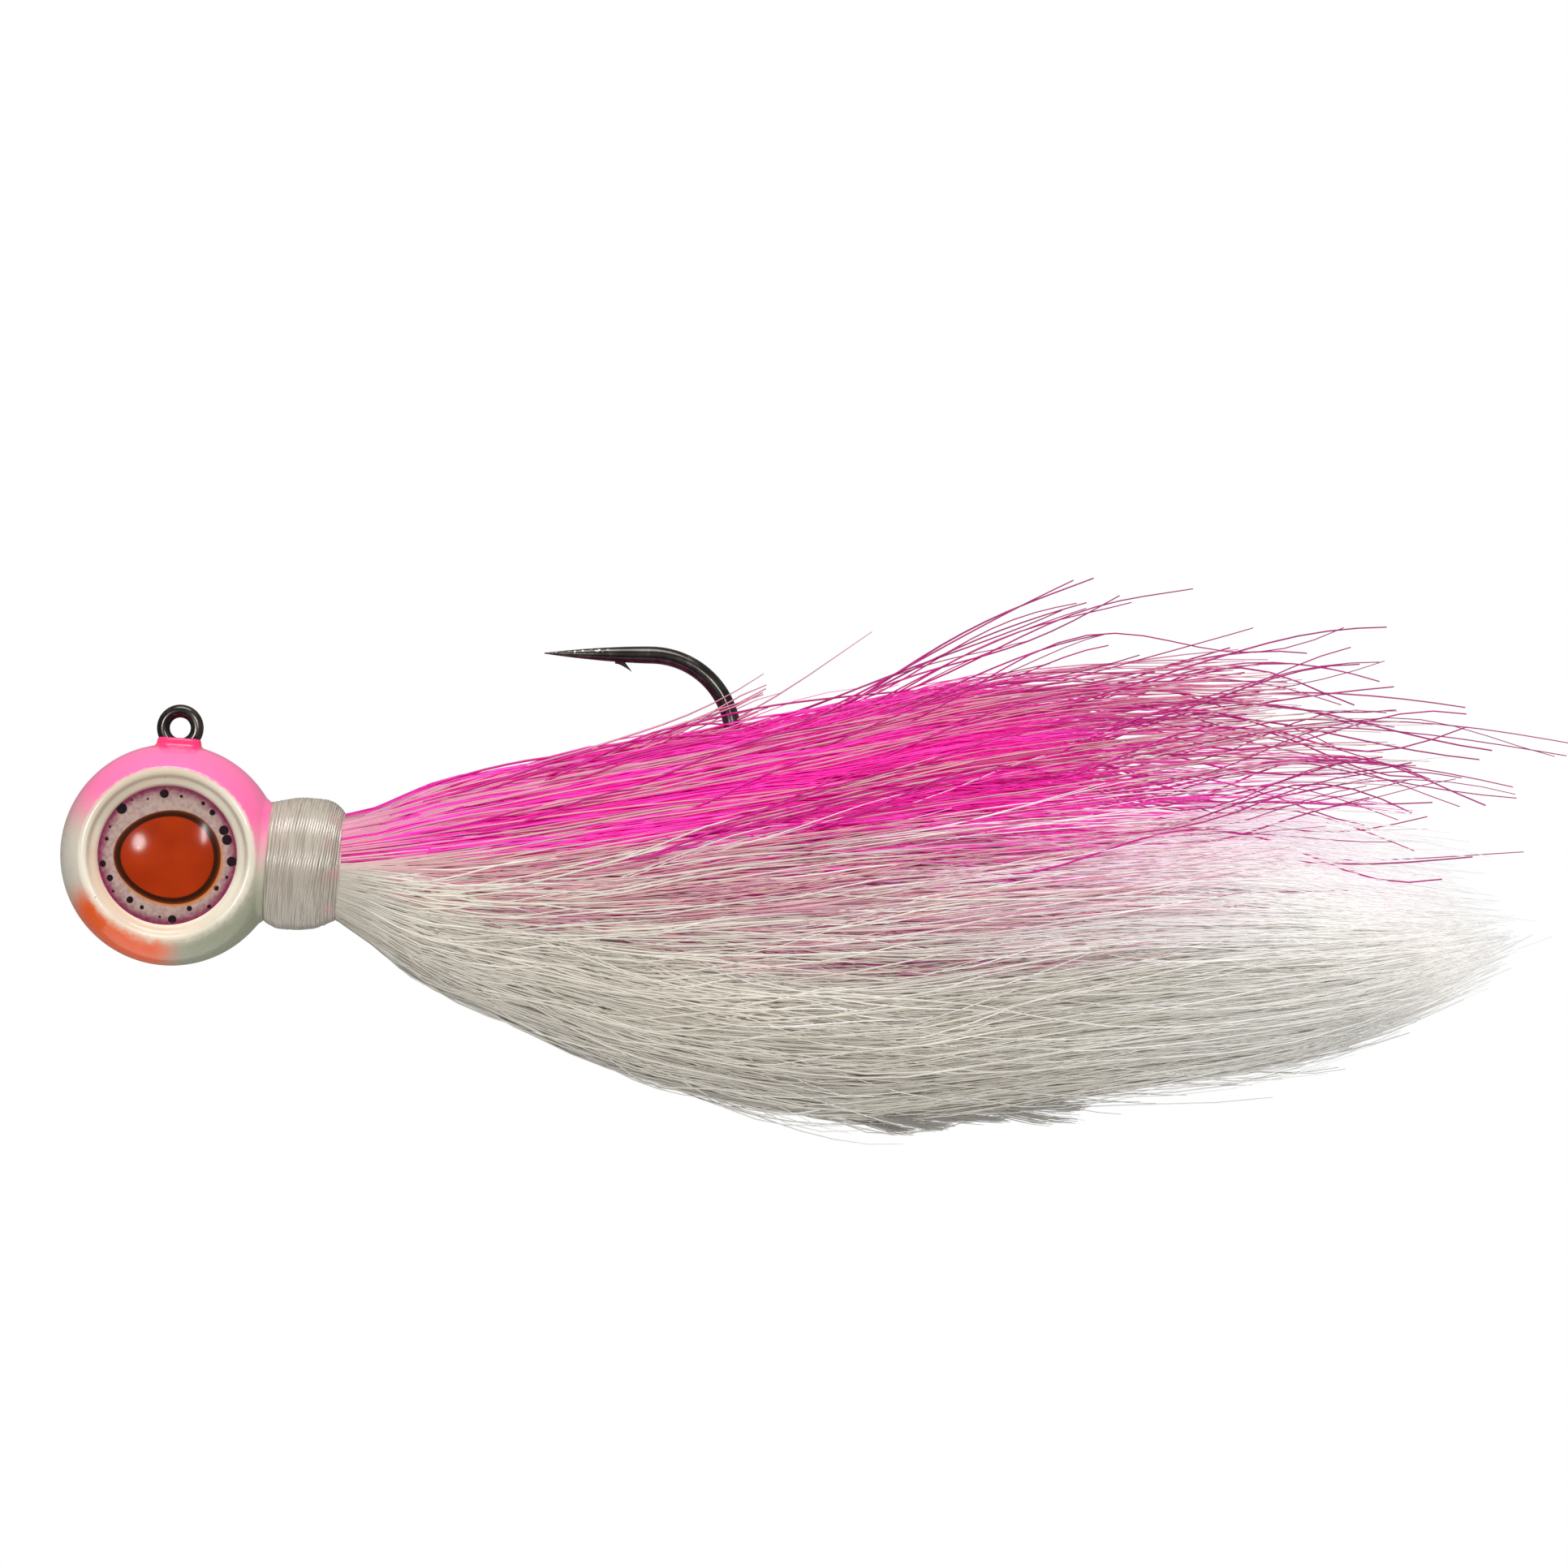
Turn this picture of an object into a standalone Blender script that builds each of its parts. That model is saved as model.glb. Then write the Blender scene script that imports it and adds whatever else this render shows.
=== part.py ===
"""Bucktail jig: a lead ball head cast on a jig hook, with inset eyes and a tied hair tail.

Metres, +Z up. The origin is the centre of the line-tie eye, +X runs along the hook shank
towards the tail, and -Y is the left side of the lure. The ball is centred on the shank,
straight below the eye.
"""
import math

import bmesh
import bpy
from mathutils import Vector

# Clearances
FIT = 0.0003
BUNCH_GAP = 0.0005

# Hook wire and the line-tie eye
WIRE_DIAMETER = 0.00175
EYE_HOLE_DIAMETER = 0.0021
EYE_WIRE_DIAMETER = 0.00133
EYE_STANDOFF = 0.00165
HOOK_NECK_BEND_RADIUS = 0.003
SHANK_LENGTH = 0.0418
LOWER_BEND_RADIUS = 0.0143
LOWER_BEND_SWEEP = math.radians(99.0)
UPPER_BEND_RADIUS = 0.0084
POINT_LENGTH = 0.0109
POINT_DROOP = math.radians(3.0)
TIP_DIAMETER = 0.0001
POINT_TAPER = 1.4
BARB_TO_TIP = 0.0072
BARB_LENGTH = 0.0017
BARB_HEIGHT = 0.0017
BARB_THICKNESS = 0.0007
BARB_ROOT_DEPTH = 0.3
BARB_ROOT_SHARE = 0.5
BARB_EDGE_SHARE = 0.2

# Cast lead head
HEAD_DIAMETER = 0.0225
HEAD_WIDTH = 0.0133
EYE_MARGIN = 0.0012
RIM_WIDTH = 0.0009
RIM_CROWN = 0.0003
SOCKET_DEPTH = 0.0013
BOSS_WIDTH = 0.0046
BOSS_THICKNESS = 0.0034
BOSS_FOOT_FLARE = 1.3
BOSS_BASE_FLARE = 1.08
BOSS_SHOULDER = 0.98
BOSS_CROWN = 0.86
COLLAR_DIAMETER = 0.0054
KEEPER_HEIGHT = 0.0003
KEEPER_LENGTH = 0.0008

# Moulded eyes
EYE_DIAMETER = 0.014
EYE_SEAT_GAP = 0.0001
DECAL_THICKNESS = 0.0003
DOME_EDGE = 0.0004
DOME_RISE = 0.0013

# Tying thread and the tied hair under it, from the collar outwards
UNDERWRAP_THICKNESS = 0.0004
TIED_HAIR_THICKNESS = 0.0009
WRAP_LENGTH = 0.0078
WRAP_FRONT_WALL = 0.0012
WRAP_BELLY_WALL = 0.00175
WRAP_MOUTH_WALL = 0.00065

# Hair tail: heights above the shank and half depths, at shares of the tail's length
TAIL_LENGTH = 0.1235
TAIL_ROOT_STEP = 0.0003
TAIL_TOP = ((0.06, 0.0084), (0.14, 0.0113), (0.30, 0.0157), (0.45, 0.0203), (0.56, 0.0230),
            (0.70, 0.0226), (1.0, 0.0140))
TAIL_BORDER = ((0.06, 0.0010), (0.19, 0.0024), (0.32, 0.0045), (0.44, 0.0058), (0.58, 0.0072),
               (0.70, 0.0086), (0.83, 0.0085), (1.0, 0.0065))
TAIL_BOTTOM = ((0.03, -0.0078), (0.07, -0.0110), (0.15, -0.0146), (0.30, -0.0202), (0.43, -0.0214),
               (0.53, -0.0196), (0.66, -0.0160), (0.77, -0.0130), (0.84, -0.0098), (0.93, -0.0042),
               (1.0, 0.0030))
TAIL_HALF_DEPTH = ((0.06, 0.0066), (0.15, 0.0085), (0.35, 0.0110), (0.55, 0.0114), (0.75, 0.0088),
                   (1.0, 0.0040))
CREST_REACH = 0.74
PINK_FLANK_REACH = 0.88
WHITE_FLANK_REACH = 1.0
BELLY_REACH = 0.88
LOCK_TAPER_START = 0.68
LOCK_TIP_SHARE = 0.07

# Facets
WIRE_SIDES_RESOLUTION = 3
WIRE_SIDES = 10
RING_STEPS = 32
NECK_STEPS = 6
LOWER_BEND_STEPS = 16
UPPER_BEND_STEPS = 12
POINT_STEPS = 8
HEAD_STEPS = 56
WAIST_STEPS = 8
BOSS_SIDES = 24
BALL_SAMPLES = 13
TURN_STEPS = 40
DOME_STEPS = 6
BARREL_STEPS = 10
TIED_STEPS = 8
BUNCH_STATIONS = 18
STATION_CROWDING = 1.15
ARC_POINTS = 7
SHARP_ANGLE = math.radians(40.0)
MERGE_DISTANCE = 1e-7
ANGLE_TOLERANCE = 1e-6

# Values that follow from the sizes above
WIRE_RADIUS = WIRE_DIAMETER / 2
RING_ROOT_RADIUS = EYE_WIRE_DIAMETER * 0.4
SHANK_POINT = NECK_STEPS + 3
EYE_RING_RADIUS = (EYE_HOLE_DIAMETER + EYE_WIRE_DIAMETER) / 2
HEAD_RADIUS = HEAD_DIAMETER / 2
SHANK_Z = -(HEAD_RADIUS + EYE_STANDOFF)
EYE_RADIUS = EYE_DIAMETER / 2
SOCKET_RADIUS = EYE_RADIUS + EYE_MARGIN
RIM_RADIUS = SOCKET_RADIUS + RIM_WIDTH
FACE_Y = HEAD_WIDTH / 2
SOCKET_FLOOR_Y = FACE_Y - SOCKET_DEPTH
COLLAR_RADIUS = COLLAR_DIAMETER / 2
UNDERWRAP_INNER = COLLAR_RADIUS + FIT
UNDERWRAP_OUTER = UNDERWRAP_INNER + UNDERWRAP_THICKNESS
TIED_INNER = UNDERWRAP_OUTER + FIT
TIED_OUTER = TIED_INNER + TIED_HAIR_THICKNESS
WRAP_INNER = TIED_OUTER + FIT
WRAP_MOUTH_RADIUS = WRAP_INNER + WRAP_MOUTH_WALL
WRAP_FRONT_RADIUS = WRAP_INNER + WRAP_FRONT_WALL
WRAP_BELLY_RADIUS = WRAP_INNER + WRAP_BELLY_WALL
TAIL_ROOT_RADIUS = WRAP_MOUTH_RADIUS - TAIL_ROOT_STEP
HOOK_SLOT = WIRE_RADIUS + FIT
BEND_BACK = SHANK_LENGTH + LOWER_BEND_RADIUS + WIRE_RADIUS
SIDES = (("left", -1), ("right", 1))


def material(name, colour, roughness, metallic=0.0):
    """A plain Principled material."""
    made = bpy.data.materials.new(name)
    made.use_nodes = True
    shader = made.node_tree.nodes["Principled BSDF"]
    shader.inputs["Base Color"].default_value = (*colour, 1.0)
    shader.inputs["Roughness"].default_value = roughness
    shader.inputs["Metallic"].default_value = metallic
    made.diffuse_color = (*colour, 1.0)
    return made


def add_object(name, mesh, finish=None):
    """Link a mesh as a named object, smooth except at its sharp edges."""
    made = bpy.data.objects.new(name, mesh)
    bpy.context.scene.collection.objects.link(made)
    mesh.shade_smooth()
    mesh.set_sharp_from_angle(angle=SHARP_ANGLE)
    if finish:
        mesh.materials.append(finish)
    return made


def mesh_from(name, shape):
    """Turn a bmesh with its faces set outwards into a mesh."""
    bmesh.ops.recalc_face_normals(shape, faces=shape.faces)
    made = bpy.data.meshes.new(name)
    shape.to_mesh(made)
    shape.free()
    return made


def as_cutter(made):
    """A shape that only cuts or joins another one."""
    made.hide_render = True
    made.display_type = "WIRE"
    return made


def combine(target, tool, operation):
    """Join a tool to a target, or cut the target with it."""
    step = target.modifiers.new(tool.name, "BOOLEAN")
    step.object = tool
    step.operation = operation
    step.solver = "EXACT"


def turned(name, profile, centre, axis, steps):
    """Spin a closed or axis-to-axis profile of (along axis, radius) points about an axis."""
    shape = bmesh.new()
    axis = Vector(axis)
    across = Vector((0, 0, 1))
    points = [shape.verts.new(axis * along + across * radius) for along, radius in profile]
    closed = profile[0][1] > 0
    pairs = list(zip(points, points[1:]))
    if closed:
        pairs.append((points[-1], points[0]))
    edges = [shape.edges.new(pair) for pair in pairs]
    bmesh.ops.spin(shape, geom=points + edges, cent=(0, 0, 0), axis=axis, angle=math.tau,
                   steps=steps, use_merge=True)
    bmesh.ops.remove_doubles(shape, verts=shape.verts, dist=MERGE_DISTANCE)
    bmesh.ops.translate(shape, verts=shape.verts, vec=centre)
    return mesh_from(name, shape)


def lofted(name, rings):
    """Skin a run of equal rings, point by point, into one closed solid with flat ends."""
    shape = bmesh.new()
    loops = [[shape.verts.new(point) for point in ring] for ring in rings]
    for first, second in zip(loops, loops[1:]):
        for i, corner in enumerate(first):
            shape.faces.new((first[i - 1], corner, second[i], second[i - 1]))
    shape.faces.new(loops[0])
    shape.faces.new(loops[-1])
    return mesh_from(name, shape)


def smooth_value(points, share):
    """Read a smooth curve through (share, value) points."""
    last = len(points) - 1
    index = 0
    while index < last - 1 and share > points[index + 1][0]:
        index += 1

    def slope(i):
        before = points[max(i - 1, 0)]
        after = points[min(i + 1, last)]
        return (after[1] - before[1]) / (after[0] - before[0])

    start, end = points[index], points[index + 1]
    span = end[0] - start[0]
    t = min(max((share - start[0]) / span, 0.0), 1.0)
    hermite = (2 * t**3 - 3 * t**2 + 1, t**3 - 2 * t**2 + t, 3 * t**2 - 2 * t**3, t**3 - t**2)
    parts = (start[1], span * slope(index), end[1], span * slope(index + 1))
    return sum(weight * part for weight, part in zip(hermite, parts))


def arc(centre, radius, start, end, steps):
    """Points on an arc in the XZ plane; angles run from +X towards +Z."""
    found = []
    for i in range(1, steps + 1):
        angle = start + (end - start) * i / steps
        found.append(centre + Vector((math.cos(angle), 0, math.sin(angle))) * radius)
    return found


def hook_path():
    """Mid-line of the hook wire below the eye ring, with its radius at each point."""
    down = math.radians(-90)
    corner = Vector((HOOK_NECK_BEND_RADIUS, 0, SHANK_Z + HOOK_NECK_BEND_RADIUS))
    lower = Vector((SHANK_LENGTH, 0, SHANK_Z + LOWER_BEND_RADIUS))
    joint_angle = down + LOWER_BEND_SWEEP
    towards_joint = Vector((math.cos(joint_angle), 0, math.sin(joint_angle)))
    upper = lower + towards_joint * (LOWER_BEND_RADIUS - UPPER_BEND_RADIUS)
    top_angle = math.radians(90) + POINT_DROOP
    path = [Vector((0, 0, -EYE_RING_RADIUS)), Vector((0, 0, -EYE_RING_RADIUS - EYE_WIRE_DIAMETER))]
    path.append(Vector((0, 0, corner.z)))
    path += arc(corner, HOOK_NECK_BEND_RADIUS, math.radians(180), math.radians(270), NECK_STEPS)
    path.append(lower - Vector((0, 0, LOWER_BEND_RADIUS)))
    path += arc(lower, LOWER_BEND_RADIUS, down, joint_angle, LOWER_BEND_STEPS)
    path += arc(upper, UPPER_BEND_RADIUS, joint_angle, top_angle, UPPER_BEND_STEPS)
    radii = [RING_ROOT_RADIUS] + [WIRE_RADIUS] * (len(path) - 1)
    leg = Vector((-math.cos(POINT_DROOP), 0, -math.sin(POINT_DROOP)))
    leg_start = path[-1]
    for i in range(1, POINT_STEPS + 1):
        share = i / POINT_STEPS
        path.append(leg_start + leg * (POINT_LENGTH * share))
        radii.append(WIRE_RADIUS + (TIP_DIAMETER / 2 - WIRE_RADIUS) * share**POINT_TAPER)
    return path, radii, leg


def wire(name, path, radii):
    """A round wire along a path, as a mesh with filled ends."""
    curve = bpy.data.curves.new(name, "CURVE")
    curve.dimensions = "3D"
    curve.bevel_depth = 1.0
    curve.bevel_resolution = WIRE_SIDES_RESOLUTION
    curve.use_fill_caps = True
    spline = curve.splines.new("POLY")
    spline.points.add(len(path) - 1)
    for point, place, radius in zip(spline.points, path, radii):
        point.co = (*place, 1.0)
        point.radius = radius
    holder = bpy.data.objects.new(name, curve)
    bpy.context.scene.collection.objects.link(holder)
    mesh = bpy.data.meshes.new_from_object(holder.evaluated_get(bpy.context.evaluated_depsgraph_get()))
    bpy.data.objects.remove(holder)
    shape = bmesh.new()
    shape.from_mesh(mesh)
    bmesh.ops.remove_doubles(shape, verts=shape.verts, dist=MERGE_DISTANCE)
    return mesh_from(name, shape)


def eye_ring(name, clearance):
    """The line-tie ring as a closed torus about the Y axis."""
    tube = EYE_WIRE_DIAMETER / 2 + clearance
    profile = []
    for i in range(WIRE_SIDES):
        angle = math.tau * i / WIRE_SIDES
        profile.append((tube * math.cos(angle), EYE_RING_RADIUS + tube * math.sin(angle)))
    return turned(name, profile, (0, 0, 0), (0, 1, 0), RING_STEPS)


def barb_spur(leg, tip):
    """The spur cut under the point: a wedge that rises from the leg and points back."""
    root = tip - leg * BARB_TO_TIP
    under = Vector((leg.z, 0, -leg.x)) * -1
    inside = WIRE_RADIUS * BARB_ROOT_DEPTH
    corners = [root - under * inside, root - leg * (BARB_LENGTH * BARB_ROOT_SHARE) - under * inside,
               root - leg * BARB_LENGTH + under * BARB_HEIGHT]
    rings = []
    for side in (-1, 1):
        thick = [BARB_THICKNESS / 2, BARB_THICKNESS / 2, BARB_THICKNESS * BARB_EDGE_SHARE]
        rings.append([corner + Vector((0, side * half, 0)) for corner, half in zip(corners, thick)])
    return lofted("barb_spur", rings)


def jig_hook(finish):
    """One forged wire: line-tie ring, neck, shank, round bend, tapered point and barb."""
    path, radii, leg = hook_path()
    hook = add_object("jig_hook", wire("jig_hook", path, radii), finish)
    ring = as_cutter(add_object("eye_ring_join", eye_ring("eye_ring_join", 0.0)))
    spur = as_cutter(add_object("barb_join", barb_spur(leg, path[-1])))
    combine(hook, ring, "UNION")
    combine(hook, spur, "UNION")
    return hook


def ball_radius(y):
    """Outer radius of the ball about the Y axis, on an arc from its waist to its rims."""
    fall = HEAD_RADIUS - RIM_RADIUS
    bulge = (fall**2 + FACE_Y**2) / (2 * fall)
    return HEAD_RADIUS - bulge + math.sqrt(bulge**2 - y**2)


def ball_back(radius):
    """How far back the ball reaches at a distance from the shank."""
    found = []
    for i in range(BALL_SAMPLES):
        angle = math.pi / 2 * i / (BALL_SAMPLES - 1)
        height = radius * math.cos(angle)
        y = min(radius * math.sin(angle), FACE_Y)
        found.append(math.sqrt(ball_radius(y) ** 2 - height**2))
    return max(found)


WRAP_START = ball_back(WRAP_FRONT_RADIUS) + FIT
WRAP_END = WRAP_START + WRAP_LENGTH
TAIL_START = WRAP_END + FIT


def head_casting(finish):
    """Flat-sided ball with rimmed eye sockets, an eye boss and a collar with a keeper ridge."""
    half = [(SOCKET_FLOOR_Y, 0.0), (SOCKET_FLOOR_Y, SOCKET_RADIUS), (FACE_Y, SOCKET_RADIUS)]
    half.append((FACE_Y + RIM_CROWN, SOCKET_RADIUS + RIM_WIDTH / 2))
    waist = [FACE_Y * (1 - i / WAIST_STEPS) for i in range(WAIST_STEPS)]
    half += [(y, ball_radius(y)) for y in waist]
    profile = half + [(0.0, HEAD_RADIUS)] + [(-y, radius) for y, radius in reversed(half)]
    head = add_object("head_casting", turned("head_casting", profile, (0, 0, SHANK_Z), (0, 1, 0),
                                             HEAD_STEPS), finish)

    boss_top = -EYE_HOLE_DIAMETER / 2
    boss_foot = SHANK_Z + HEAD_RADIUS - BOSS_THICKNESS / 2
    levels = ((boss_foot, BOSS_FOOT_FLARE), (SHANK_Z + HEAD_RADIUS - FIT, BOSS_BASE_FLARE),
              (boss_top - FIT, BOSS_SHOULDER), (boss_top, BOSS_CROWN))
    rings = []
    for z, share in levels:
        ring = []
        for i in range(BOSS_SIDES):
            angle = math.tau * i / BOSS_SIDES
            ring.append(Vector((math.cos(angle) * BOSS_WIDTH / 2 * share,
                                math.sin(angle) * BOSS_THICKNESS / 2 * share, z)))
        rings.append(ring)
    boss = as_cutter(add_object("boss_join", lofted("boss_join", rings)))

    keeper = COLLAR_RADIUS + KEEPER_HEIGHT
    collar_profile = [(0.0, 0.0), (0.0, COLLAR_RADIUS), (WRAP_END - 2 * KEEPER_LENGTH, COLLAR_RADIUS),
                      (WRAP_END - KEEPER_LENGTH, keeper), (WRAP_END, COLLAR_RADIUS), (WRAP_END, 0.0)]
    collar = as_cutter(add_object("collar_join", turned("collar_join", collar_profile, (0, 0, SHANK_Z),
                                                        (1, 0, 0), TURN_STEPS)))

    path = hook_path()[0]
    channel_path = [path[0] + Vector((0, 0, EYE_RING_RADIUS / 2))] + path[1:SHANK_POINT]
    channel_path.append(Vector((WRAP_END + FIT, 0, SHANK_Z)))
    channel_radii = [WIRE_RADIUS + FIT] * len(channel_path)
    channel = as_cutter(add_object("wire_channel_cut", wire("wire_channel_cut", channel_path,
                                                            channel_radii)))
    ring_cut = as_cutter(add_object("ring_slot_cut", eye_ring("ring_slot_cut", FIT)))
    combine(head, boss, "UNION")
    combine(head, collar, "UNION")
    combine(head, channel, "DIFFERENCE")
    combine(head, ring_cut, "DIFFERENCE")
    return head


def moulded_eye(side_name, side, print_finish, resin_finish):
    """A printed disc in each socket under a clear domed cap."""
    centre = (0, 0, SHANK_Z)
    outward = (0, side, 0)
    decal_back = SOCKET_FLOOR_Y + EYE_SEAT_GAP
    decal_front = decal_back + DECAL_THICKNESS
    decal = [(decal_front, 0.0), (decal_front, EYE_RADIUS), (decal_back, EYE_RADIUS), (decal_back, 0.0)]
    add_object(f"eye_decal_{side_name}", turned(f"eye_decal_{side_name}", decal, centre, outward,
                                                TURN_STEPS), print_finish)
    dome_back = decal_front + EYE_SEAT_GAP
    rim = dome_back + DOME_EDGE
    crown = (EYE_RADIUS**2 + DOME_RISE**2) / (2 * DOME_RISE)
    dome = []
    for i in range(DOME_STEPS):
        radius = EYE_RADIUS * i / DOME_STEPS
        dome.append((rim + DOME_RISE - crown + math.sqrt(crown**2 - radius**2), radius))
    dome += [(rim, EYE_RADIUS), (dome_back, EYE_RADIUS), (dome_back, 0.0)]
    add_object(f"eye_dome_{side_name}", turned(f"eye_dome_{side_name}", dome, centre, outward,
                                               TURN_STEPS), resin_finish)


def thread_pieces(finish):
    """The base layer of thread on the collar and the barrel of thread over the tied hair."""
    centre = (0, 0, SHANK_Z)
    base_start = ball_back(UNDERWRAP_INNER) + FIT
    base_end = WRAP_END - 2 * KEEPER_LENGTH - FIT
    base = [(base_start, UNDERWRAP_INNER), (base_start, UNDERWRAP_OUTER), (base_end, UNDERWRAP_OUTER),
            (base_end, UNDERWRAP_INNER)]
    add_object("thread_underwrap", turned("thread_underwrap", base, centre, (1, 0, 0), TURN_STEPS), finish)

    barrel = [(ball_back(WRAP_INNER) + FIT, WRAP_INNER)]
    for i in range(BARREL_STEPS + 1):
        share = i / BARREL_STEPS
        chord = WRAP_FRONT_RADIUS + (WRAP_MOUTH_RADIUS - WRAP_FRONT_RADIUS) * share
        swell = WRAP_BELLY_RADIUS - (WRAP_FRONT_RADIUS + WRAP_MOUTH_RADIUS) / 2
        barrel.append((WRAP_START + WRAP_LENGTH * share, chord + swell * math.sin(math.pi * share)))
    barrel.append((WRAP_END, WRAP_INNER))
    add_object("thread_wrap", turned("thread_wrap", barrel, centre, (1, 0, 0), TURN_STEPS), finish)


def tied_hair(name, first_angle, finish):
    """A quarter ring of hair ends held between the two layers of thread."""
    start = ball_back(TIED_INNER) + FIT
    spare = math.asin(FIT / 2 / TIED_INNER)
    rings = []
    for x in (start, WRAP_END):
        ring = []
        steps = range(TIED_STEPS + 1)
        for radius, order in ((TIED_OUTER, steps), (TIED_INNER, reversed(steps))):
            for i in order:
                angle = first_angle + spare + (math.pi / 2 - 2 * spare) * i / TIED_STEPS
                ring.append(Vector((x, radius * math.sin(angle), SHANK_Z + radius * math.cos(angle))))
        rings.append(ring)
    add_object(name, lofted(name, rings), finish)


def tail_section(share):
    """Centre height, half depth, upper and lower half heights, and hook slot at a share of the tail."""
    root = TAIL_ROOT_RADIUS
    border = smooth_value(((0.0, 0.0),) + TAIL_BORDER, share)
    top = smooth_value(((0.0, root),) + TAIL_TOP, share)
    bottom = smooth_value(((0.0, -root),) + TAIL_BOTTOM, share)
    depth = smooth_value(((0.0, root),) + TAIL_HALF_DEPTH, share)
    past_hook = (TAIL_START + TAIL_LENGTH * share - BEND_BACK - FIT) / LOWER_BEND_RADIUS
    closing = min(max(past_hook, 0.0), 1.0)
    slot = HOOK_SLOT + (BUNCH_GAP / 2 - HOOK_SLOT) * closing
    return border, depth, top - border, border - bottom, slot


def bunch_section(share, first, last, taper):
    """Outline of one bunch between two angles, as (y, z) with y away from the middle plane."""
    border, depth, up, low, slot = tail_section(share)
    height = up if last <= math.pi / 2 + ANGLE_TOLERANCE else low

    def place(angle):
        return depth * math.sin(angle), border + height * math.cos(angle)

    def edge(angle, inwards):
        """Angle on the outline, and the inner line z = base + rise * y, half a gap inside an edge."""
        if math.sin(angle) < ANGLE_TOLERANCE:
            return angle + inwards * math.asin(slot / depth), None
        y, z = depth * math.sin(angle), height * math.cos(angle)
        length = math.hypot(y, z)
        reach = math.hypot(depth * z / length, height * y / length)
        turn = math.asin(BUNCH_GAP / 2 / reach)
        return angle + inwards * turn, (border - inwards * BUNCH_GAP / 2 * length / y, z / y)

    start, start_line = edge(first, 1)
    end, end_line = edge(last, -1)
    lines = [line for line in (end_line, start_line) if line]
    inner = slot
    if len(lines) == 2:
        meeting = (lines[0][0] - lines[1][0]) / (lines[1][1] - lines[0][1])
        inner = max(slot, meeting + BUNCH_GAP)
    outline = [(inner, base + rise * inner) for base, rise in lines]
    outline += [place(start + (end - start) * i / (ARC_POINTS - 1)) for i in range(ARC_POINTS)]
    middle_y = sum(y for y, _ in outline) / len(outline)
    middle_z = sum(z for _, z in outline) / len(outline)
    return [(middle_y + (y - middle_y) * taper, middle_z + (z - middle_z) * taper) for y, z in outline]


def hair_bunch(name, side, first, last, reach, hinge, finish):
    """A bunch of loose hair from the mouth of the wrap to its tapered tip."""
    rings = []
    shared = [(i / BUNCH_STATIONS) ** STATION_CROWDING for i in range(BUNCH_STATIONS + 1)]
    shares = [share for share in shared if share < reach - 0.5 / BUNCH_STATIONS] + [reach]
    for share in shares:
        past = max(share / reach - LOCK_TAPER_START, 0.0) / (1 - LOCK_TAPER_START)
        taper = LOCK_TIP_SHARE + (1 - LOCK_TIP_SHARE) * (1 - past**2)
        x = TAIL_START + TAIL_LENGTH * share
        section = bunch_section(share, first, last, taper)
        rings.append([Vector((x, side * y, SHANK_Z + z)) - hinge for y, z in section])
    bunch = add_object(name, lofted(name, rings), finish)
    bunch.location = hinge


def main():
    for old in list(bpy.data.objects):
        bpy.data.objects.remove(old)

    black_nickel = material("black_nickel", (0.03, 0.03, 0.035), 0.15, 1.0)
    head_paint = material("head_paint", (0.90, 0.45, 0.62), 0.2)
    eye_print = material("eye_print", (0.62, 0.40, 0.52), 0.4)
    eye_resin = material("eye_resin", (0.95, 0.95, 0.95), 0.05)
    white_thread = material("white_thread", (0.78, 0.74, 0.70), 0.5)
    pink_hair = material("pink_hair", (0.85, 0.06, 0.42), 0.55)
    white_hair = material("white_hair", (0.78, 0.76, 0.72), 0.55)

    jig_hook(black_nickel)
    head_casting(head_paint)
    thread_pieces(white_thread)
    quarter = math.pi / 4
    for side_name, side in SIDES:
        moulded_eye(side_name, side, eye_print, eye_resin)
        pink_start = 0.0 if side > 0 else -math.pi / 2
        white_start = math.pi / 2 if side > 0 else math.pi
        tied_hair(f"pink_tied_ends_{side_name}", pink_start, pink_hair)
        tied_hair(f"white_tied_ends_{side_name}", white_start, white_hair)
        lean = TAIL_ROOT_RADIUS * math.sin(quarter)
        pink_hinge = Vector((TAIL_START, side * lean, SHANK_Z + lean))
        white_hinge = Vector((TAIL_START, side * lean, SHANK_Z - lean))
        hair_bunch(f"pink_crest_{side_name}", side, 0.0, quarter, CREST_REACH, pink_hinge, pink_hair)
        hair_bunch(f"pink_flank_{side_name}", side, quarter, 2 * quarter, PINK_FLANK_REACH, pink_hinge,
                   pink_hair)
        hair_bunch(f"white_flank_{side_name}", side, 2 * quarter, 3 * quarter, WHITE_FLANK_REACH,
                   white_hinge, white_hair)
        hair_bunch(f"white_belly_{side_name}", side, 3 * quarter, 4 * quarter, BELLY_REACH, white_hinge,
                   white_hair)


main()
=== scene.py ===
# %% [markdown]
# # A bucktail jig
# A bucktail jig is a fishing lure. Lead is cast round the ring end of a long hook to make the head,
# a big moulded eye is glued in each flat face, and a tail of dyed deer hair is tied on behind.
# The frame brings in a plain solid for each piece. This lesson keeps the hidden ones and puts finer
# shapes in place of those that show.
# Sizes are in metres. The middle of the ring is the origin, X runs back along the hook's shank,
# Y is the width, with the left side at minus Y, and Z is up.

import math

import bpy
import numpy as np
from mathutils import Matrix, Vector


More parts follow.
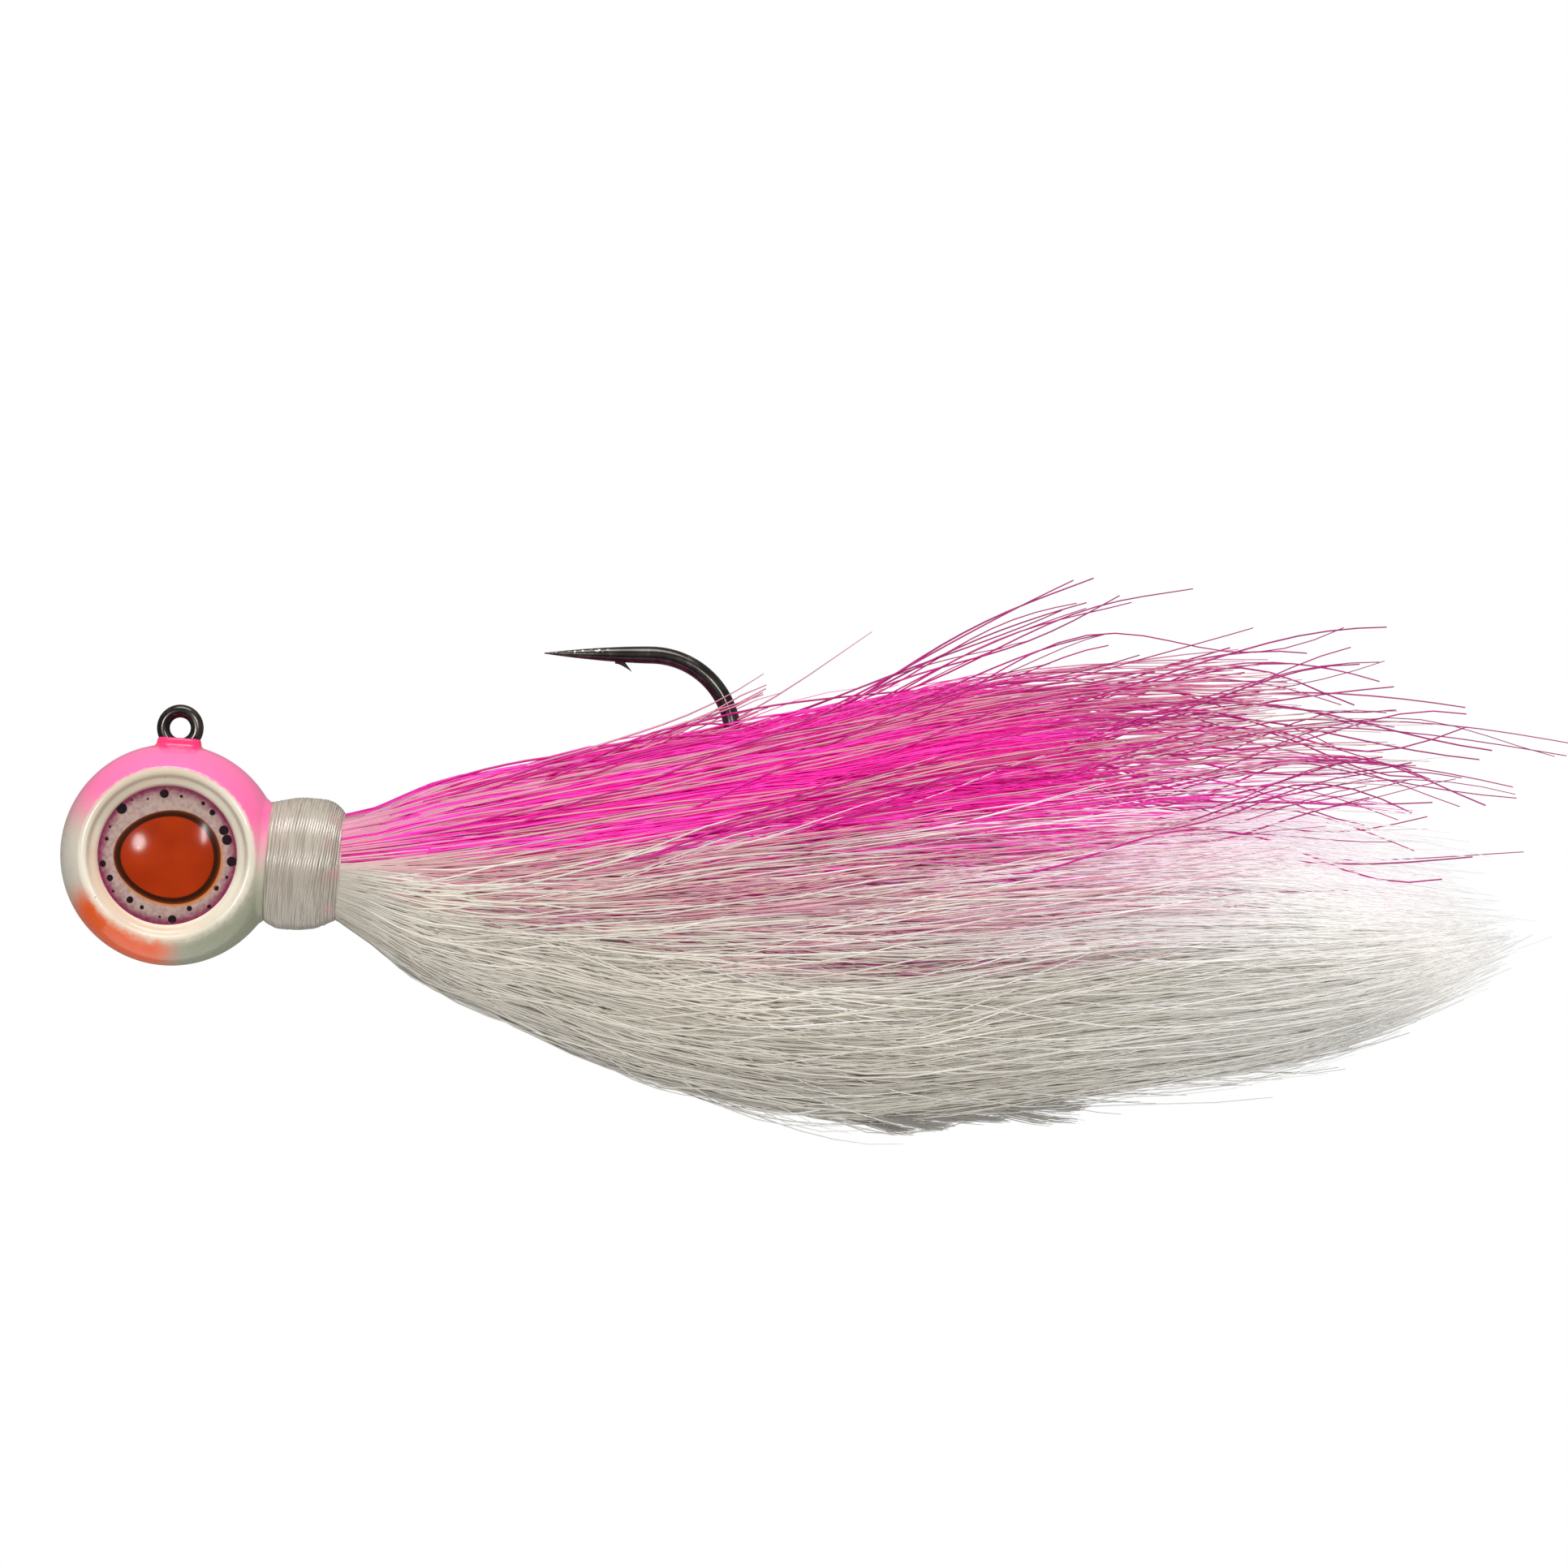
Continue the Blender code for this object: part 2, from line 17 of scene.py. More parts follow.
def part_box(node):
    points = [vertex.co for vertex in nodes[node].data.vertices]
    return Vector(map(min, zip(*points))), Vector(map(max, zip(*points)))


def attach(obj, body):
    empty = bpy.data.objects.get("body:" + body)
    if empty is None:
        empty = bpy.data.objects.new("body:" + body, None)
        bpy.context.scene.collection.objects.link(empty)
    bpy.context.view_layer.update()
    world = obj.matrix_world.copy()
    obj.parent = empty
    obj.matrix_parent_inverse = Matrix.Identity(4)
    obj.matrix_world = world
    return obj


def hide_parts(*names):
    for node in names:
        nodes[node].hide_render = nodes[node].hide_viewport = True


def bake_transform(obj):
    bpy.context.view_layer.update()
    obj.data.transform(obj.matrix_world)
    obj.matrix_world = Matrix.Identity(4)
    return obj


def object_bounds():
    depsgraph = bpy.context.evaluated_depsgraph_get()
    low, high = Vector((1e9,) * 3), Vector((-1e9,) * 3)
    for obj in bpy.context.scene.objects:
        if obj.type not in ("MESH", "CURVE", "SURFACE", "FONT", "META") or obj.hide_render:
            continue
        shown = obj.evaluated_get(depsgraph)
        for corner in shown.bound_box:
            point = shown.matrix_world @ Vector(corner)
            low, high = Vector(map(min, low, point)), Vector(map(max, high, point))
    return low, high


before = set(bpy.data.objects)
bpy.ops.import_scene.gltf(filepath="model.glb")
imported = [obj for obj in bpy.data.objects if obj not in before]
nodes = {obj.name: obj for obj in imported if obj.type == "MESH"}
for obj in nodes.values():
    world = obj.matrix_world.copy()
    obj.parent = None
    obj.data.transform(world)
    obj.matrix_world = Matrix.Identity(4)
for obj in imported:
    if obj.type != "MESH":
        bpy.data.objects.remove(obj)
cad_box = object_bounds()
scene = bpy.context.scene
MM = 0.001
SIDES = (("left", -1), ("right", 1))
wrap_low, wrap_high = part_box("thread_wrap")
head_low, head_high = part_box("head_casting")
SHANK_Z = (wrap_low.z + wrap_high.z) / 2
HEAD_RADIUS = -head_low.x
print(f"{len(nodes)} solids; the shank lies {-SHANK_Z / MM:.1f} mm below the ring")

# %% [markdown]
# ## The camera
# The photograph was taken square to the lure's left side from far off, so a long lens stands in for
# it. The lure lies a few degrees nose up in the picture, so the camera is rolled by the same angle.

# %% Camera
VIEW_WIDTH = 159.1 * MM
VIEW_CENTRE = Vector((61.5 * MM, 0, -1.4 * MM))
VIEW_ROLL = math.radians(4.0)
LENS = 200.0
SENSOR = 36.0

camera_data = bpy.data.cameras.new("camera")
camera_data.lens = LENS
camera_data.sensor_width = SENSOR
camera_data.clip_start = 0.01
camera = bpy.data.objects.new("camera", camera_data)
scene.collection.objects.link(camera)
distance = VIEW_WIDTH * LENS / SENSOR
right = Vector((math.cos(VIEW_ROLL), 0, math.sin(VIEW_ROLL)))
up = Vector((-math.sin(VIEW_ROLL), 0, math.cos(VIEW_ROLL)))
away = right.cross(up)
camera.matrix_world = Matrix.Translation(VIEW_CENTRE + away * distance) @ Matrix(
    (right, up, away)).transposed().to_4x4()
scene.camera = camera
print(f"camera {distance:.2f} m in front of the lure")

# %% [markdown]
# ## Paper and lamps
# A product shot on white paper needs an even, bright surround. The world is white where the camera
# looks straight at it. To mirrors and as a lamp it is dimmer, most of all from below, or else the
# gloss on the head would fade its edge into the paper and nothing would look round. Two small
# softboxes stand either side of the camera, where the eyes mirror them, and a wide one hangs above.

# %% Surround
LIGHT_BELOW = 0.10
LIGHT_ABOVE = 0.46
scene.view_settings.view_transform = "Standard"


def show_white(tree, below, above):
    """A strength that is 1 where the camera looks, and otherwise grows from below to above."""
    coords = tree.nodes.new("ShaderNodeTexCoord")
    split = tree.nodes.new("ShaderNodeSeparateXYZ")
    sky = tree.nodes.new("ShaderNodeMapRange")
    for socket, value in (("From Min", -1), ("To Min", below), ("To Max", above)):
        sky.inputs[socket].default_value = value
    tree.links.new(coords.outputs["Generated"], split.inputs[0])
    tree.links.new(split.outputs["Z"], sky.inputs["Value"])
    path = tree.nodes.new("ShaderNodeLightPath")
    level = tree.nodes.new("ShaderNodeMapRange")
    tree.links.new(path.outputs["Is Camera Ray"], level.inputs["Value"])
    tree.links.new(sky.outputs["Result"], level.inputs["To Min"])
    return level.outputs["Result"]


world = bpy.data.worlds.new("paper_white")
world.use_nodes = True
scene.world = world
backdrop = world.node_tree.nodes["Background"]
backdrop.inputs["Color"].default_value = (1, 1, 1, 1)
strength = show_white(world.node_tree, LIGHT_BELOW, LIGHT_ABOVE)
world.node_tree.links.new(strength, backdrop.inputs["Strength"])
print(f"the world lights with {LIGHT_BELOW} from below and {LIGHT_ABOVE} from above")


# %% Softboxes
def softbox(name, place, target, size, watts):
    """An oval lamp at a place, turned to a target."""
    data = bpy.data.lights.new(name, "AREA")
    data.shape = "ELLIPSE"
    data.size, data.size_y = size
    data.energy = watts
    lamp = bpy.data.objects.new(name, data)
    scene.collection.objects.link(lamp)
    lamp.location = place
    lamp.rotation_euler = (Vector(target) - Vector(place)).to_track_quat("-Z", "Y").to_euler()


def from_camera(left, above, reach):
    """A place this far from the head, turned left of the camera's line and above it, in degrees."""
    left, above = math.radians(left), math.radians(above)
    level = math.cos(above)
    return Vector((-math.sin(left) * level, -math.cos(left) * level, math.sin(above))) * reach


LAMP_REACH = 0.9
HEAD_AIM = (0.02, 0, -0.01)
TAIL_AIM = (0.05, 0, 0)
ABOVE = (0.02, -0.25, 0.75)
softbox("softbox_left", from_camera(21, 5, LAMP_REACH), HEAD_AIM, (0.115, 0.15), 3.2)
softbox("softbox_right", from_camera(-18, 13, LAMP_REACH), HEAD_AIM, (0.045, 0.18), 1.8)
softbox("softbox_above", ABOVE, TAIL_AIM, (0.6, 0.4), 4.8)
print(f"{len(bpy.data.lights)} softboxes")

# %% Paper
FLOOR_DROP = 120 * MM
floor_mesh = bpy.data.meshes.new("paper")
floor_z = cad_box[0].z - FLOOR_DROP
floor_corners = ((-0.12, -0.16), (0.25, -0.16), (0.25, 0.16), (-0.12, 0.16))
floor_mesh.from_pydata([(*corner, floor_z) for corner in floor_corners], [], [(0, 1, 2, 3)])
floor = bpy.data.objects.new("paper", floor_mesh)
scene.collection.objects.link(floor)
paper = bpy.data.materials.new("paper")
paper.use_nodes = True
sheet = paper.node_tree.nodes["Principled BSDF"]
sheet.inputs["Base Color"].default_value = (0.95, 0.95, 0.95, 1)
sheet.inputs["Roughness"].default_value = 0.9
floor_mesh.materials.append(paper)
print(f"paper {FLOOR_DROP / MM:.0f} mm below the lure")

# %% [markdown]
# ## Sums as nodes
# Both the paint and the hair are worked out by node trees. A tree of sums is hard to read when every
# node is placed by hand, so a small class does it: arithmetic on a Field adds the Math node for it.
# The same class serves material trees and geometry trees, because both have the Math node.

# %% Field helper
class Field:
    """A number that a node tree works out at every point."""

    def __init__(self, tree, socket):
        self.tree = tree
        self.socket = socket

    def node(self, kind, values, output=0, **settings):
        """A new node with its inputs linked or set; the result is one of its outputs."""
        made = self.tree.nodes.new(kind)
        for name, value in settings.items():
            setattr(made, name, value)
        for place, value in values.items():
            if isinstance(value, Field):
                self.tree.links.new(value.socket, made.inputs[place])
            else:
                made.inputs[place].default_value = value
        return Field(self.tree, made.outputs[output])

    def math(self, operation, *others):
        return self.node("ShaderNodeMath", dict(enumerate((self, *others))), operation=operation)

    def __add__(self, other):
        return self.math("ADD", other)

    def __sub__(self, other):
        return self.math("SUBTRACT", other)

    def __rsub__(self, other):
        return self * -1 + other

    def __mul__(self, other):
        return self.math("MULTIPLY", other)

    def __truediv__(self, other):
        return self.math("DIVIDE", other)

    def __pow__(self, other):
        return self.math("POWER", other)

    __radd__ = __add__
    __rmul__ = __mul__

    def floor(self):
        return self.math("FLOOR")

    def at_least(self, other):
        return self.math("MAXIMUM", other)

    def at_most(self, other):
        return self.math("MINIMUM", other)

    def ease(self, low, high):
        """0 below low and 1 above high, with a smooth step between; low may be the larger."""
        values = {"Value": self, "From Min": low, "From Max": high}
        return self.node("ShaderNodeMapRange", values, interpolation_type="SMOOTHSTEP")

    def mix(self, other, share):
        return self + (other - self) * share

    def outline(self, points):
        """The height of a smooth curve through (share, height) points, at this share."""
        heights = [height for _, height in points]
        low = min(heights)
        span = max(heights) - low
        curve = self.tree.nodes.new("ShaderNodeFloatCurve")
        line = curve.mapping.curves[0]
        for share, height in points[1:-1]:
            line.points.new(share, (height - low) / span)
        line.points[0].location = (0, (heights[0] - low) / span)
        line.points[-1].location = (1, (heights[-1] - low) / span)
        for point in line.points:
            point.handle_type = "AUTO_CLAMPED"
        curve.mapping.update()
        self.tree.links.new(self.socket, curve.inputs["Value"])
        return Field(self.tree, curve.outputs[0]) * span + low


# %% Node groups
def new_tree(name, kind, inputs, outputs):
    """A node group with (title, kind, default) inputs and (title, kind) outputs; its inputs as Fields."""
    tree = bpy.data.node_groups.new(name, kind)
    for title, socket_kind in outputs:
        tree.interface.new_socket(title, in_out="OUTPUT", socket_type=f"NodeSocket{socket_kind}")
    for title, socket_kind, value in inputs:
        socket = tree.interface.new_socket(title, in_out="INPUT", socket_type=f"NodeSocket{socket_kind}")
        if value is not None:
            socket.default_value = value
    entry = tree.nodes.new("NodeGroupInput")
    return tree, {out.name: Field(tree, out) for out in entry.outputs if out.name}


def end_tree(tree, *results):
    """Links these Fields to the group's outputs in turn."""
    leave = tree.nodes.new("NodeGroupOutput")
    for result, socket in zip(results, leave.inputs):
        tree.links.new(result.socket, socket)


def tell_nodes(name, tree):
    print(f"{name}: {len(tree.nodes)} nodes")


# %% [markdown]
# ## Materials
# Each finish is a Principled shader with a tree in front of it. Colours are mixed by masks that come
# from the place on the lure, as an airbrush would lay them, and a few of the masks lay painted shade.
# Colour values here are as a screen shows them, and one function turns them into the linear light
# that shaders work in.

# %% Material helpers
def linear(red, green, blue):
    """A screen colour, 0 to 255 a channel, as linear light."""
    def channel(value):
        value /= 255
        return value / 12.92 if value <= 0.04045 else ((value + 0.055) / 1.055) ** 2.4
    return (channel(red), channel(green), channel(blue), 1.0)


def finish(name, **values):
    """A new material, its tree and its Principled shader with these socket values."""
    made = bpy.data.materials.new(name)
    made.use_nodes = True
    shader = made.node_tree.nodes["Principled BSDF"]
    for socket, value in values.items():
        shader.inputs[socket.replace("_", " ").title().replace("Ior", "IOR")].default_value = value
    return made, made.node_tree, shader


def from_group(tree, group, **values):
    """The outputs of a group that is placed in a material's tree, with its inputs set."""
    placed = tree.nodes.new("ShaderNodeGroup")
    placed.node_tree = group
    for title, value in values.items():
        placed.inputs[title].default_value = value
    return [Field(tree, out) for out in placed.outputs]


def place_in(tree):
    """X, Y and Z of the shaded point, and the vector itself, in the lure's own frame."""
    coords = tree.nodes.new("ShaderNodeTexCoord").outputs["Object"]
    split = tree.nodes.new("ShaderNodeSeparateXYZ")
    tree.links.new(coords, split.inputs[0])
    return [Field(tree, out) for out in split.outputs] + [Field(tree, coords)]


# %% Layers of colour
def noise(vector, scale, detail=3.0):
    """Cloudy noise between 0 and 1, about 0.5."""
    return vector.node("ShaderNodeTexNoise", {"Vector": vector, "Scale": scale, "Detail": detail})


def paint_over(under, colour, mask):
    """The colour laid over another by a mask. Either colour may be a plain value or a Field."""
    tree = mask.tree
    mixer = tree.nodes.new("ShaderNodeMix")
    mixer.data_type = "RGBA"
    tree.links.new(mask.socket, mixer.inputs[0])
    for place, value in ((6, under), (7, colour)):
        if isinstance(value, Field):
            tree.links.new(value.socket, mixer.inputs[place])
        else:
            mixer.inputs[place].default_value = value
    return Field(tree, mixer.outputs[2])


def bump(height, strength, distance):
    """A shading normal from a height field."""
    return height.node("ShaderNodeBump", {"Height": height, "Strength": strength, "Distance": distance})


def plug(field, socket):
    field.tree.links.new(field.socket, socket)


def let_light_through(tree, shader, passed):
    """Lamp light gets through with this colour, so that what lies behind isn't left black."""
    path = tree.nodes.new("ShaderNodeLightPath")
    thin = tree.nodes.new("ShaderNodeBsdfTransparent")
    thin.inputs["Color"].default_value = passed
    either = tree.nodes.new("ShaderNodeMixShader")
    tree.links.new(path.outputs["Is Shadow Ray"], either.inputs[0])
    tree.links.new(shader.outputs[0], either.inputs[1])
    tree.links.new(thin.outputs[0], either.inputs[2])
    tree.links.new(either.outputs[0], tree.nodes["Material Output"].inputs["Surface"])


# %% [markdown]
# ## Meshes from rings
# Wire, head, eyes and thread are all round in section, so each is a row of rings of points with a
# skin between them. The rings run the same way round as seen along the row, so that every face of the
# skin points outwards. That matters most for clear resin, which bends light the wrong way inside out.

# %% Mesh helpers
def corners_of(sides):
    """The cosine and sine of each corner of a ring."""
    turns = [math.tau * k / sides for k in range(sides)]
    return [(math.cos(turn), math.sin(turn)) for turn in turns]


def add_piece(name, verts, faces, material):
    """A smooth mesh piece at the origin."""
    mesh = bpy.data.meshes.new(name)
    mesh.from_pydata(verts, [], faces)
    mesh.shade_smooth()
    mesh.materials.append(material)
    piece = bpy.data.objects.new(name, mesh)
    scene.collection.objects.link(piece)
    return piece


def skin(rings, closed_ends):
    """Verts and faces over rings of points; closed ends each get a middle point."""
    count = len(rings[0])
    verts = [point for ring in rings for point in ring]
    faces = []
    for row in range(len(rings) - 1):
        for i in range(count):
            j = (i + 1) % count
            a, b = row * count, (row + 1) * count
            faces.append((a + i, a + j, b + j, b + i))
    if closed_ends:
        for row, turn in ((0, 1), (len(rings) - 1, -1)):
            middle = sum((Vector(point) for point in rings[row]), Vector()) / count
            verts.append(tuple(middle))
            for i in range(count):
                corners = (row * count + (i + 1) % count, row * count + i, len(verts) - 1)
                faces.append(corners[::turn])
    return verts, faces


# %% [markdown]
# ## The hook
# The hook is one forged steel wire: a ring closed on itself, a neck that the lead hides, a straight
# shank, a round bend and a point ground to a needle with a barb cut up from it. A ring of points is
# swept along the wire's middle line, thinner towards the point.

# %% Hook wire
WIRE = 1.75 * MM
SHANK_END = 41.8 * MM
LOWER_BEND = 14.3 * MM
LOWER_SWEEP = math.radians(99)
UPPER_BEND = 8.4 * MM
POINT_LENGTH = 10.9 * MM
POINT_DROOP = math.radians(3)
POINT_TAPER = 1.75
TIP_WIRE = 0.10 * MM
HIDDEN_START = 8 * MM
WIRE_SIDES = 24
SHANK_STEPS = 12
LOWER_STEPS = 40
UPPER_STEPS = 28
POINT_STEPS = 25


def arc_points(centre, radius, start, end, steps):
    """Points along an arc in the plane of the hook."""
    angles = np.linspace(start, end, steps)
    return [centre + Vector((math.cos(a), 0, math.sin(a))) * radius for a in angles]


def sweep(path, radii, sides):
    """Rings of points round a path that lies in the plane of the hook."""
    rings = []
    for i, point in enumerate(path):
        ahead = path[min(i + 1, len(path) - 1)] - path[max(i - 1, 0)]
        across = Vector((0, 1, 0)).cross(ahead).normalized()
        offsets = [across * cosine + Vector((0, sine, 0)) for cosine, sine in corners_of(sides)]
        rings.append([tuple(point + offset * radii[i]) for offset in offsets])
    return rings


def hook_wire():
    """Rings along the shank, bend and point, and the point's direction and tip."""
    down = math.radians(-90)
    lower = Vector((SHANK_END, 0, SHANK_Z + LOWER_BEND))
    turn = down + LOWER_SWEEP
    upper = lower + Vector((math.cos(turn), 0, math.sin(turn))) * (LOWER_BEND - UPPER_BEND)
    path = [Vector((x, 0, SHANK_Z)) for x in np.linspace(HIDDEN_START, SHANK_END, SHANK_STEPS)[:-1]]
    path += arc_points(lower, LOWER_BEND, down, turn, LOWER_STEPS)[:-1]
    path += arc_points(upper, UPPER_BEND, turn, math.radians(90) + POINT_DROOP, UPPER_STEPS)
    radii = [WIRE / 2] * len(path)
    leg = Vector((-math.cos(POINT_DROOP), 0, -math.sin(POINT_DROOP)))
    start = path[-1]
    for share in np.linspace(0, 1, POINT_STEPS)[1:]:
        path.append(start + leg * (POINT_LENGTH * share))
        radii.append(WIRE / 2 + (TIP_WIRE - WIRE) / 2 * share**POINT_TAPER)
    return sweep(path, radii, WIRE_SIDES), leg, path[-1]


# %% Barb
BARB_TO_TIP = 7.2 * MM
BARB_LENGTH = 1.7 * MM
BARB_HEIGHT = 1.35 * MM
BARB_TALL = 0.55 * MM
BARB_WIDE = 0.36 * MM
BARB_TIP = (0.03 * MM, 0.05 * MM)
BARB_CURVE = 1.3
BARB_SIDES = 10
BARB_STEPS = 7


def barb(leg, tip):
    """The spur under the point: a thin curved wedge that rises from the leg and points back."""
    root = tip - leg * BARB_TO_TIP
    under = Vector((-leg.z, 0, leg.x))
    rings = []
    for share in np.linspace(0, 1, BARB_STEPS):
        off_leg = 0.2 * WIRE + BARB_HEIGHT * share**BARB_CURVE
        middle = root - leg * (BARB_LENGTH * share) + under * off_leg
        tall = BARB_TALL * (1 - share) + BARB_TIP[0]
        wide = BARB_WIDE * (1 - share) + BARB_TIP[1]
        ring = []
        for cosine, sine in corners_of(BARB_SIDES):
            ring.append(tuple(middle + under * (tall * cosine) + Vector((0, wide * sine, 0))))
        rings.append(ring)
    return rings


# %% Line-tie ring
RING_WIRE = 1.33 * MM
RING_HOLE = 2.1 * MM
RING_STEPS = 65


def ring_rings():
    """The line-tie ring as rings of points round its wire, the first one repeated at the end."""
    middle_radius = (RING_HOLE + RING_WIRE) / 2
    path = arc_points(Vector(), middle_radius, 0, math.tau, RING_STEPS)
    rings = []
    for point in path:
        outward = point.normalized()
        offsets = [outward * cosine + Vector((0, sine, 0)) for cosine, sine in corners_of(WIRE_SIDES)]
        rings.append([tuple(point + offset * RING_WIRE / 2) for offset in offsets])
    return rings


# %% [markdown]
# ## The hook's plating
# Black nickel is a dark mirror that handling has smudged. A plain metal would look too new, so noise
# shifts its tone and its roughness a little, and a finer noise wears bright specks on the top of the
# point, where the coat has rubbed off. Masks of the place keep the specks there.

# %% Hook finish
nickel, tree, shader = finish("black_nickel", metallic=1.0)
x, y, z, spot = place_in(tree)
smudge = noise(spot, 600)
point_top = x.ease(44 * MM, 40 * MM) * (z - x * 0.052).ease(8.2 * MM, 8.5 * MM)
scuff = noise(spot, 2600, 2).ease(0.57, 0.63) * point_top
tone = paint_over(linear(62, 58, 56), linear(92, 88, 84), smudge.ease(0.4, 0.7))
plug(paint_over(tone, linear(205, 200, 195), scuff), shader.inputs["Base Color"])
plug(smudge * 0.14 + 0.17, shader.inputs["Roughness"])
tell_nodes(nickel.name, tree)

# %% Hook piece
wire_rings, leg, tip = hook_wire()
hook_verts, hook_faces = skin(wire_rings, True)
for extra, closed in ((ring_rings(), False), (barb(leg, tip), True)):
    verts, faces = skin(extra, closed)
    hook_faces += [tuple(i + len(hook_verts) for i in face) for face in faces]
    hook_verts += verts
hook = add_piece("hook_wire", hook_verts, hook_faces, nickel)
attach(hook, "head")
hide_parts("jig_hook")
print(f"hook: {len(hook.data.polygons)} faces")

# %% [markdown]
# ## The head
# The head is a ball of cast lead with a flat face cut each side, a raised rim and a stepped socket
# for the eye. Lead also runs up round the ring's foot and back to a neck that the thread covers.
# The shape is turned about the Y axis from one half profile, given in mm as radius and depth below
# the face. The neck isn't turned, so it is a second surface that a smooth maximum blends in, which
# leaves the small hollow fillet that cast metal and thick paint have. The ring's foot is a stack of
# squarish rings with a flared base, given in mm as height and two half widths.

# %% Head profile
FACE_Y = head_high.y
SOCKET = ((0, 1.6), (6.88, 1.6), (7.08, 0.85), (7.75, 0.62), (8.05, 0.22), (8.22, 0.02), (8.6, 0),
          (8.9, 0.12))
RIM_OUTER = SOCKET[-1][0] * MM
RIM_ROUND = 0.2 * MM
FLOOR_STEPS = 10
EDGE_STEPS = 4
BALL_ROWS = 40


def half_profile():
    """(radius, y) from the middle of the socket floor over the rim to the ball's equator."""
    corners = [(radius * MM, FACE_Y - depth * MM) for radius, depth in SOCKET]
    fine = []
    for (r0, y0), (r1, y1) in zip(corners, corners[1:]):
        steps = EDGE_STEPS if r0 else FLOOR_STEPS
        for i in range(steps):
            fine.append((r0 + (r1 - r0) * i / steps, y0 + (y1 - y0) * i / steps))
    profile = np.array(fine + [corners[-1]])
    first = FLOOR_STEPS + 2
    for _ in range(3):
        profile[first:-1] = (profile[first - 1:-2] + profile[first:-1] * 2 + profile[first + 1:]) / 4
    ball_start = math.asin((FACE_Y - RIM_ROUND) / HEAD_RADIUS)
    angles = np.linspace(ball_start, 0, BALL_ROWS)
    ball = np.stack([np.cos(angles), np.sin(angles)], 1) * HEAD_RADIUS
    return np.concatenate([profile, ball])


# %% Head surface
HEAD_COLUMNS = 240
NECK_RADIUS = 5.3 * MM
NECK_FLARE = 1400
NECK_END = wrap_low.x + 0.5 * MM
FILLET = 1.0 * MM


def smooth_max(a, b, blend):
    """The larger of two arrays, with a rounded crossing about blend wide."""
    share = np.clip(0.5 + 0.5 * (a - b) / blend, 0, 1)
    return b + (a - b) * share + blend * share * (1 - share)


def head_points():
    """Points of the head as an array of rings, from the right socket to the left one."""
    half = half_profile()
    profile = np.concatenate([half[1:], (half * (1, -1))[-2:0:-1]])
    turn = np.linspace(0, math.tau, HEAD_COLUMNS, endpoint=False)
    radius, y = profile[:, :1], profile[:, 1:] + 0 * turn
    x = radius * np.cos(turn)
    height = radius * np.sin(turn)
    from_shank = np.hypot(y, height)
    neck = NECK_END - NECK_FLARE * np.clip(from_shank - NECK_RADIUS, 0, None) ** 2
    behind = (x > 0.4 * HEAD_RADIUS) & (radius > RIM_OUTER)
    x = np.where(behind, smooth_max(x, neck, FILLET), x)
    return np.stack([x, y, height + SHANK_Z], 2)


# %% Boss under the ring
BOSS_LEVELS = ((-2.5, 3.3, 2.6), (-2.15, 2.95, 2.2), (-1.95, 2.5, 1.75), (-1.75, 2.3, 1.5),
               (-1.5, 2.24, 1.4), (-1.25, 2.2, 1.34), (-1.1, 2.12, 1.25), (-1.02, 1.95, 1.08),
               (-1.0, 1.6, 0.8))
BOSS_SQUARE = 3.0
BOSS_SIDES = 64


def boss_rings():
    """The stub of lead round the ring's foot, from its flared foot to its rounded top."""
    rings = []
    for z, half_x, half_y in BOSS_LEVELS:
        ring = []
        for cosine, sine in corners_of(BOSS_SIDES):
            squarish = (abs(cosine) ** BOSS_SQUARE + abs(sine) ** BOSS_SQUARE) ** (-1 / BOSS_SQUARE)
            ring.append((half_x * squarish * cosine * MM, half_y * squarish * sine * MM, z * MM))
        rings.append(ring)
    return rings


# %% [markdown]
# ## The head's paint
# The head is dipped in a pearl coat and then sprayed freehand: pink over the top, orange under the
# chin and a greenish grey at the lower back, darkened there as painted shade for the shaded underside.
# Each colour is laid on by a mask of the height and of the distance from the eye, roughened by noise as
# spray is, and the flat rim is kept clear of the pink. Painted shade also darkens the pearl on the
# upper part of the face and in the groove inside the rim.
# The eye's print needs the same two measures, so they are a node group.

# %% Place on the face
face_place, _ = new_tree("face_place", "ShaderNodeTree", (), (
    ("Height", "Float"), ("From Middle", "Float")))
x, y, z, spot = place_in(face_place)
height = z - SHANK_Z
end_tree(face_place, height, (x * x + height * height) ** 0.5)
tell_nodes(face_place.name, face_place)

# %% Head paint
paint, tree, shader = finish("head_paint", specular_ior_level=0.2, coat_weight=0.45,
                             coat_roughness=0.08)
x, y, z, spot = place_in(tree)
height, from_middle = from_group(tree, face_place)
mist = noise(spot, 1500, 4) - 0.5
cloud = noise(spot, 160, 2) - 0.5
outside_rim = (from_middle + mist * (0.5 * MM)).ease(8.7 * MM, 9.1 * MM)
past_rim = (from_middle + mist * (1.2 * MM) + cloud * (0.8 * MM)).ease(8.1 * MM, 9.5 * MM)
pearl = paint_over(linear(226, 218, 200), linear(212, 203, 184), (cloud + 0.5).ease(0.3, 0.7))
shadow_side = (height - x * 0.4 + cloud * (3 * MM)).ease(2 * MM, 9 * MM)
pearl = paint_over(pearl, linear(206, 190, 168), shadow_side)
sprayed = (x * -0.8 - height + mist * (5 * MM)).ease(1.5 * MM, 8 * MM)
inside_rim = from_middle.ease(8.5 * MM, 7.4 * MM)
pearl = paint_over(pearl, linear(214, 188, 164), sprayed * inside_rim)
